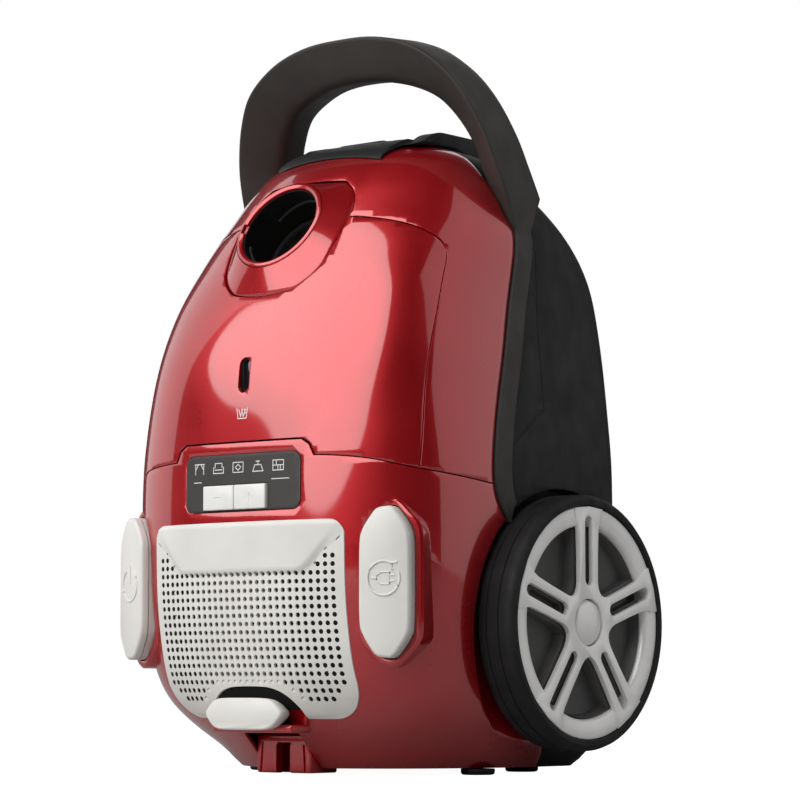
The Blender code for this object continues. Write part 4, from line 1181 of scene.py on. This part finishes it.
def make_pedals():
    layers = [(0.0, -1.9), (0.25, -1.2), (0.8, -0.5), (1.7, -0.05), (4.6, 0), (4.6, -1.3),
              (5.5, -1.3), (5.5, 0), (21.0, 0)]
    plug = [(-1.5, -3.4), (3.6, -3.4), (3.6, 3.4), (-1.5, 3.4), (-4.2, 1.6), (-4.2, -1.6),
            (-1.5, -3.4)]
    # side, word, gap of the ring and where its line starts, in degrees
    for side, word, opening, start in ((1, "rewind", 40, 60), (-1, "power", 60, 120)):
        cap = solid("pedal_" + word + "_cap", pedal_solid(side, layers, 4), "light")
        place(settle(cap, 0.0, 32), word + "_pedal", "light", "pedal_" + word)
        turns = [math.radians(start + (360 - opening) * k / 40) for k in range(41)]
        ring = [(SIGN_R * math.cos(a), SIGN_R * math.sin(a)) for a in turns]
        parts = [sign_rod(ring, 0.75)]
        if word == "power":
            parts.append(sign_rod([(0, 1.0), (0, 11.6)], 0.75))
        else:
            u, v = ring[0]
            parts.append(sign_rod([(u + 3.4, v + 0.7), (u, v), (u + 0.6, v - 3.6)], 0.75))
            for stroke in (plug, [(3.6, -1.7), (6.6, -1.7)], [(3.6, 1.7), (6.6, 1.7)],
                           [(-4.2, 0), (-7.4, 0)]):
                parts.append(sign_rod(stroke, 0.55))
        sign = solid("pedal_" + word + "_sign", flipped(side, merged(parts)), "light")
        place(settle(sign, weld=False), word + "_pedal", "light")


# ---- exhaust door ----
HOLE_PITCH = 4.78
HOLE_ROW = 4.77
HOLE_R = 1.45
FIRST_ROW = 125.5
HOLE_COLUMNS = 14
# each row from the top: (first, last, blind), counted in columns from its ends; holes fill the
# columns from first up to last, and those from blind on are only dimples
HOLE_ROWS = [(0, 2, 2), (0, 3, 3)] + [(0, 15, 15)] * 13 + [(0, 15, 9), (1, 8, 7), (2, 7, 6)]
SCOOP_Z = (117.0, 141.0)
SCOOP_HALF = (48.5, 68.5)          # half width at its bottom and at its top
SCOOP_SLOPE = 2.6
DOOR_BULGE = 3.4
DOOR_SINK = 1.5
SINK_TOP = 141.5


def ease(t):
    t = min(max(t, 0.0), 1.0)
    return t * t * (3 - 2 * t)


def share(value, low, high):
    """Where value lies between low and high, from 0 to 1."""
    return min(max((value - low) / (high - low), 0), 1)


def scoop_share(x, z):
    """1 inside the raised scoop above the holes, 0 outside, with short slopes at its rim."""
    low, high = SCOOP_Z
    reach = SCOOP_HALF[0] + (SCOOP_HALF[1] - SCOOP_HALF[0]) * share(z, low, high)
    if z < low + 5:
        reach -= 5.0 * (1 - share(z, low - 1, low + 5) ** 0.5)
    return ease((reach - abs(x)) / SCOOP_SLOPE + 0.5) * ease((z - low) / SCOOP_SLOPE + 0.5)


def door_proud(x, z):
    """How far the front of the exhaust door stands off the skin."""
    face = 1.0 + DOOR_BULGE * (1 - (x / GRILLE_HALF) ** 2)
    sunk = (1 - scoop_share(x, z)) * (DOOR_SINK * ease((SINK_TOP - z) / 20) + 0.15)
    rim = min(GRILLE_HALF - abs(x), 3.0) / 3.0
    edge = min(z - GRILLE_Z[0], GRILLE_Z[1] - z, 2.2) / 2.2
    return face - sunk - 0.9 * (1 - rim) ** 2 - 1.2 * (1 - max(edge, 0)) ** 2


def hole_places():
    """Centres of the through holes and of the blind dimples as (x, z, through)."""
    places = []
    for row, (first, last, blind) in enumerate(HOLE_ROWS):
        for column in range(-HOLE_COLUMNS, HOLE_COLUMNS + 1):
            outer = HOLE_COLUMNS - abs(column)
            if first <= outer < last:
                places.append((column * HOLE_PITCH, FIRST_ROW - HOLE_ROW * row, outer < blind))
    return places


MOUTH = mirrored([(35, 25), (34.7, 36), (31, 42.5), (25, 47.6), (17, 50.6), (8, 51.5)])


def make_door():
    rings = plate_rings(GRILLE_HALF, *GRILLE_Z, (22, 9), door_proud, -2 * GAP, 84, 78)
    door = solid("door_exhaust", skin(rings), "light")
    cut(door, prism(eased(MOUTH), "Y", -120, -40))
    holes, dimples = [], []
    for x, z, through in hole_places():
        y = front_y(x, z)
        if through:
            holes.append(disc(HOLE_R, (x, y - 9, z), (0, 1, 0), 0, 16, 14))
        else:
            dimples.append(disc(HOLE_R, (x, y - door_proud(x, z) - 1, z), (0, 1, 0), 0, 1.35, 14))
    cut(door, merged(holes))
    cut(door, merged(dimples))
    place(settle(door, 0.0, 32), "exhaust_door", "light", "exhaust_grille")

    # thin near-black sheet just behind the door: painted shade seen through its holes
    sheet = plate_rings(70.0, 38.0, 133.0, (22, 5), lambda x, z: 0.76, -0.42, 40, 30)
    shade_sheet = solid("door_shade_sheet", skin(sheet), "painted_shade")
    cut(shade_sheet, block((-15, -110, 30), (15, -60, 42)))
    place(settle(shade_sheet, 0.0, 40), "exhaust_door", "painted_shade")


LATCH_MIDDLE = Vector((0, 35.5))
LATCH_EDGE = mirrored([(18, LATCH_Z[0]), (24, 28.5), (LATCH_HALF, 36), (24, 43), (18, LATCH_Z[1])])
# depth and growth of the tab's outline, from its face to its back
LATCH_LAYERS = ((-84.0, -1.7), (-83.7, -0.9), (-83.1, -0.3), (-82.3, 0), (-78, -0.4), (-75, -1.4),
                (-69.5, -4.5))


def make_latch():
    """Finger tab of the exhaust door, in its dark mouth."""
    fine = rounded_corners(LATCH_EDGE, 5, [0.35] * len(LATCH_EDGE))
    rings = []
    for y, grow in LATCH_LAYERS:
        ring = []
        for point in fine:
            away = Vector(point) - LATCH_MIDDLE
            p = LATCH_MIDDLE + away * (1 + grow / away.length)
            sag = 1.9 * (p.x / LATCH_HALF) ** 2 if y < -80 else 0
            ring.append((p.x, y + sag, p.y))
        rings.append(ring)
    tab = solid("latch_exhaust", skin(rings), "light")
    cut(tab, block((-14, -76, 32.2), (14, -62, 41)), "UNION")
    place(settle(tab, 0.0, 32), "door_latch", "light", "grille_latch")


PLEATS = 48
PLEAT_DEPTH = 2.6


def make_filter():
    """Pleated exhaust filter behind the door, in its frame."""
    low, high = in_mm(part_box("exhaust_filter"))
    near, far = [], []
    for k in range(PLEATS + 1):
        x = low.x + (high.x - low.x) * k / PLEATS
        near.append((x, low.y + (PLEAT_DEPTH if k % 2 else 0.0)))
        far.append((x, high.y - (0.0 if k % 2 else PLEAT_DEPTH)))
    pleats = prism(near + far[::-1], "Z", low.z, high.z)
    fit("filter_pleats", pleats, "filter", "body", "exhaust_filter", crease=25)


# ---- wheels ----
STAR = [(16.2, 11.7), (18.0, 10.2), (20.4, 9.1), (24, 8.5), (40, 8.7), (54, 9.3), (58, 10.2),
        (61, 12.2), (RIM_R - 2.4, 13.6)]


def on_spoke(k, u, v):
    """Point of the wheel's face, u along spoke k and v across it."""
    a = math.radians(90 + 360 / SPOKES * k)
    return (WHEEL_Y + u * math.cos(a) - v * math.sin(a),
            WHEEL_Z + u * math.sin(a) + v * math.cos(a))


def star_outline(grow):
    """Outline of the hub and its five spokes, which widen to the rim."""
    points = []
    for k in range(SPOKES):
        for u, v in [(u, -v) for u, v in STAR] + [(RIM_R - 1.2, 0)] + STAR[::-1]:
            v += math.copysign(grow, v) if v else 0
            points.append(on_spoke(k, min(u, math.sqrt((RIM_R - 1.9) ** 2 - v * v)), v))
    return points


def spoke_slot(k, near, far, half):
    """Round-ended slot along spoke k."""
    points = []
    for end, sign in ((far - half, 1), (near + half, -1)):
        for i in range(13):
            turn = math.pi * i / 12 - math.pi / 2
            points.append(on_spoke(k, end + sign * half * math.cos(turn),
                                   sign * half * math.sin(turn)))
    return points


def make_wheel(side, word):
    centre = (side * WHEEL_X, WHEEL_Y, WHEEL_Z)
    inward = (-side, 0, 0)
    body = "wheel_" + word
    crown = TYRE_R
    tyre = [(RIM_R - 1.7, 2.4), (RIM_R - 1.5, 1.2), (RIM_R - 0.8, 0.5), (RIM_R + 1.6, 0.4),
            (crown - 2.2, 1.2), (crown - 0.8, 2.6), (crown - 0.1, 4.6), (crown, 6.5)]
    for groove in (9.5, 18.0):
        tyre += [(crown, groove), (crown - 0.8, groove + 0.4), (crown - 0.8, groove + 1.2),
                 (crown, groove + 1.6)]
    tyre += [(crown, TYRE_WIDTH - 6), (crown - 0.6, TYRE_WIDTH - 3), (crown - 2.2, TYRE_WIDTH - 1),
             (crown - 5, TYRE_WIDTH), (RIM_R - 6, TYRE_WIDTH), (RIM_R - 6, 8), (RIM_R - 1.7, 8)]
    fit("tyre_" + word, turned(tyre, centre, inward, 144), "rubber", body, "wheel_tyre_" + word,
        crease=30)

    def layer(depth):
        return side * (WHEEL_X - depth)

    ring = [(RIM_R - 14.5, 10.5), (RIM_R - 13.2, 4.4), (RIM_R - 12.2, 3.0), (RIM_R - 11.2, 2.5),
            (RIM_R - 2.8, 1.9), (RIM_R - 2.1, 2.2), (RIM_R - 1.9, 3.0), (RIM_R - 1.9, 4.4),
            (RIM_R - 6.6, 4.6), (RIM_R - 6.6, 10.5)]
    rim = solid("rim_" + word, turned(ring, centre, inward, 144), "silver")
    star = solid("star", prism(star_outline(0.0), "X", layer(1.3), layer(4.4)), "silver")
    cut(rim, star, "UNION")
    cut(rim, disc(HUB_R - 3.0, centre, inward, -1, 30, 72))
    for k in range(SPOKES):
        cut(rim, prism(spoke_slot(k, 21.5, 62.5, 3.8), "X", layer(-2), layer(20)))
    place(settle(rim, 0.45, 34), body, "silver")

    dish = [(6.1, 5.8), (RIM_R - 14.5, 5.8), (RIM_R - 14.5, 11.0), (RIM_R - 6.7, 11.0),
            (RIM_R - 6.7, 18), (6.1, 22)]
    back = solid("wheel_disc_" + word, turned(dish, centre, inward, 120), "disc")
    pocket = solid("pocket", turned([(6, 5), (RIM_R - 14.4, 5), (RIM_R - 16.5, 13.0), (6, 13.0)],
                                    centre, inward, 120), "black")
    cut(pocket, prism(star_outline(1.4), "X", layer(-2), layer(14)))
    cut(back, pocket)
    for k in range(SPOKES):
        cut(back, prism(spoke_slot(k, 23.5, 54.5, 2.6), "X", layer(-2), layer(11)))
    place(settle(back, 0.4, 34), body, "disc", "wheel_rim_" + word)

    dome = [(0, 0.25), (3, 0.3), (6, 0.5), (9, 0.95), (11.2, 1.7), (12.7, 2.6), (13.4, 3.6),
            (13.6, 4.6), (13.6, 5.6), (0, 5.6)]
    fit("hubcap_" + word, turned(dome, centre, inward, 96), "silver", body, "wheel_cap_" + word,
        crease=40)


# ---- rear and underside details ----
BACK_FACE = 131.0


def make_caster():
    """Rim of the rear caster's socket and the caster's roller."""
    face = BACK_FACE + 1.2
    socket = [(0, 98), (29.4, 98), (CASTER_R, 98.6), (CASTER_R, face - 0.9),
              (29.6, face - 0.25), (28.9, face), (28.3, face - 0.2), (27.5, face - 1.0),
              (27.5, 103.5), (26.5, 101.5), (5.2, 101.5), (5.2, 108), (0, 108)]
    cup = turned(socket, (0, 0, CASTER_Z), (0, 1, 0), 96)
    fit("caster_cup", cup, "black", "body", "caster_socket", crease=34)

    low, high = in_mm(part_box("caster_wheel"))
    r = (high.z - low.z) / 2
    half = [(2.05, 7), (4.4, 7), (5.0, 6.0), (7.6, 6.0), (8.4, 7.5), (r - 2.4, 7.5), (r - 0.9, 7.0),
            (r - 0.2, 5.8), (r, 4.4)]
    centre = (0, (low.y + high.y) / 2, (low.z + high.z) / 2)
    roller = turned([(u, -v) for u, v in half] + half[::-1], centre, (1, 0, 0), 72)
    fit("caster_tyre", roller, "rubber", "caster_roller", "caster_wheel", crease=34)


def make_outlet():
    """Cord bushing in the back, with its flared mouth."""
    profile = [(4.5, 121), (12, 121), (12, 127.6), (9, 127.6), (9, 131.4), (12.6, 131.4),
               (13, 131.8), (13, 133.0), (12.3, 133.8), (11, 134), (7.4, 134), (6.0, 133.4),
               (5.0, 132.2), (4.5, 130)]
    bushing = turned(profile, (OUTLET_X, 0, OUTLET_Z), (0, 1, 0), 72)
    fit("outlet_bushing", bushing, "black", "body", "cord_outlet", crease=34)


def make_hook():
    """Parking hook block with its frame and slot."""
    hook = solid("hook_parking", block((-21, -47, 1.2), (21, -22.5, 24), 1.4, 3), "red")
    cut(hook, block((-5.5, -60, -5), (5.5, -34, 19)))
    cut(hook, block((-12, -42, -5), (12, -34.5, 19)))
    frame_cut = [(-18.4, 1.5), (-17.0, 19.4), (17.0, 19.4), (18.4, 1.5)]
    inner = [(-16.6, -2), (-15.4, 17.8), (15.4, 17.8), (16.6, -2)]
    groove = solid("groove", prism(frame_cut, "Y", -60, -46.0), "red")
    cut(groove, prism(inner, "Y", -70, -40))
    cut(hook, groove)
    place(settle(hook, 0.0, 34), "body", "red", "parking_hook")


def make_feet():
    for name in ("foot_front_right", "foot_front_left", "foot_rear_right", "foot_rear_left"):
        low, high = in_mm(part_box(name))
        profile = [(0, 0), (8.2, 0), (9.1, 0.25), (9.8, 0.9), (10, 1.8), (10, high.z), (0, high.z)]
        pad = turned(profile, ((low.x + high.x) / 2, (low.y + high.y) / 2, 0), (0, 0, 1), 48)
        fit(name.replace("foot", "pad"), pad, "rubber", "body", name, crease=40)


BACK_RISE = [(-depth, z) for z, depth in BACK if z > 290]
NOSE_Z = 323.0


def top_z(x, y):
    """Height of the outer skin over (x, y) near the top of the machine."""
    if y > BACK[-1][1]:
        return curve(BACK_RISE, -y)
    if front_y(x, SKIN_TOP) <= y:
        return SKIN_TOP
    low, high = NOSE_Z, SKIN_TOP
    for _ in range(20):
        middle = (low + high) / 2
        if front_y(x, middle) < y:
            low = middle
        else:
            high = middle
    return low


CROWN_HALF = 41.0
CROWN_TOP = [(-10, 1.4), (-5, 2.8), (2, 3.2), (9, 3.8), (18, 5.0), (34, 5.0), (49, 5.0), (56, 5.0),
             (64, 5.0), (74, 4.0), (84, 2.6), (90, 1.4)]
RAIL_X = (38.0, 52.0)
RAIL = [(13, 375.6), (23, 379.6), (30, 383.8), (37.5, 385.6), (71, 385.3), (82, 379.8), (91, 362),
        (92, 350), (84, 355), (72, 366), (62, 372.8), (49, 376)]


def make_crown():
    """Black cover over the top: a plate that laps the red nose, with a rail on each side."""
    profile = []
    for (y0, rise0), (y1, rise1) in zip(CROWN_TOP, CROWN_TOP[1:]):
        profile += [(y0 + (y1 - y0) * t, rise0 + (rise1 - rise0) * t) for t in (0, 0.34, 0.67)]
    profile.append(CROWN_TOP[-1])
    rings = []
    for i in range(33):
        x = CROWN_HALF * (i / 16 - 1)
        lead = 2.5 * (abs(x) / CROWN_HALF) ** 4
        places = [(max(y, CROWN_TOP[0][0] + lead), rise) for y, rise in profile]
        under = [(x, y, top_z(x, y) + 0.36 * rise) for y, rise in places]
        over = [(x, y, top_z(x, y) + rise) for y, rise in reversed(places)]
        rings.append(under + over)
    crown = solid("crown_top", skin(rings), "black")
    for side in (1, -1):
        rail = prism(RAIL, "X", *sorted((side * RAIL_X[0], side * RAIL_X[1])))
        bmesh.ops.bevel(rail, geom=rail.edges, offset=2.2, segments=4, affect="EDGES", profile=0.5)
        cut(crown, rail, "UNION")
    place(settle(crown, 0.3, 30), "body", "black", "top_crown")


def make_lid_latch():
    """Finger slider on the crown, with grip ribs."""
    outline = [(20, 380.5), (44, 380.5), (44, 381.4), (41, 382.4), (38, 383), (26, 383),
               (23, 382.5), (20, 381.6)]
    latch = solid("latch_lid", prism(outline, "X", -15, 15), "black")
    for k in range(5):
        y = 27 + 2.4 * k
        cut(latch, block((-12, y - 0.45, 382.5), (12, y + 0.45, 385), 0.1))
    place(settle(latch, 0.3, 30), "latch_slide", "black", "lid_latch")


# ---- dust bag and inner parts ----
BAG_ROUND, BAG_UP = 44, 30


def signed(value, power):
    return math.copysign(abs(value) ** power, value)


def make_bag():
    """Paper-fleece dust bag: crowned, with welded side seams and soft folds."""
    low, high = in_mm(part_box("dust_bag"))
    centre, half = (low + high) / 2, (high - low) / 2
    rings = []
    for j in range(BAG_UP + 1):
        v = -math.pi / 2 + math.pi * j / BAG_UP
        level = signed(math.sin(v), 0.6)
        girth = abs(math.cos(v)) ** 0.32
        ring = []
        for i in range(BAG_ROUND):
            a = 2 * math.pi * i / BAG_ROUND
            pull = 1 - 0.05 * math.cos(4 * a) ** 2 * girth
            fold = 0.018 * math.sin(9 * a + 2.2 * v) + 0.012 * math.sin(15 * a - 4 * v)
            k = girth * pull * (0.955 + fold)
            ring.append((centre.x + half.x * signed(math.cos(a), 0.45) * k,
                         centre.y + half.y * signed(math.sin(a), 0.45) * k,
                         centre.z + half.z * 0.96 * level))
        rings.append(ring)
    bm = bands(rings)
    bmesh.ops.remove_doubles(bm, verts=bm.verts, dist=0.01)
    bag = solid("bag_fleece", bm, "bag")
    step = bag.modifiers.new("fine", "SUBSURF")
    step.levels = step.render_levels = 1
    apply_modifiers(bag)
    place(settle(bag, 0.0, 60), "body", "bag", "dust_bag")


def make_windings():
    """Copper end turns of the motor, on its rotor."""
    low, high = in_mm(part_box("motor_rotor"))
    x, y = (low.x + high.x) / 2, (low.y + high.y) / 2
    profile = [(0, 70), (5, 70), (5, 82), (14, 83), (22, 85), (26.4, 90), (27, 96), (27, 114),
               (26.4, 120), (22, 125), (14, 126.4), (5, 127), (5, 148), (38, 149.6), (41.6, 150.4),
               (42, 151.6), (42, 158.6), (41, 160), (30, 162.6), (16, 166.6), (12, 168), (4, 169.6),
               (0, 170)]
    rotor = solid("rotor_winding", turned(profile, (x, y, 0), (0, 0, 1), 96), "copper")
    for k in range(12):
        a = 2 * math.pi * k / 12
        slot = block((20, -1.1, 86), (34, 1.1, 124))
        bmesh.ops.rotate(slot, verts=slot.verts, matrix=Matrix.Rotation(a, 3, "Z"))
        bmesh.ops.translate(slot, verts=slot.verts, vec=(x, y, 0))
        cut(rotor, slot)
    place(settle(rotor, 0.0, 34), "rotor", "copper", "motor_rotor")


def main():
    studio()
    for make in (make_shells, make_handle, make_base, make_inlet, make_window, make_bag_mark,
                 make_panel, make_buttons, make_pedals, make_door, make_latch, make_filter):
        make()
    make_wheel(1, "right")
    make_wheel(-1, "left")
    for make in (make_caster, make_outlet, make_hook, make_feet, make_crown, make_lid_latch,
                 make_bag, make_windings, dress_cad_nodes):
        make()


main()
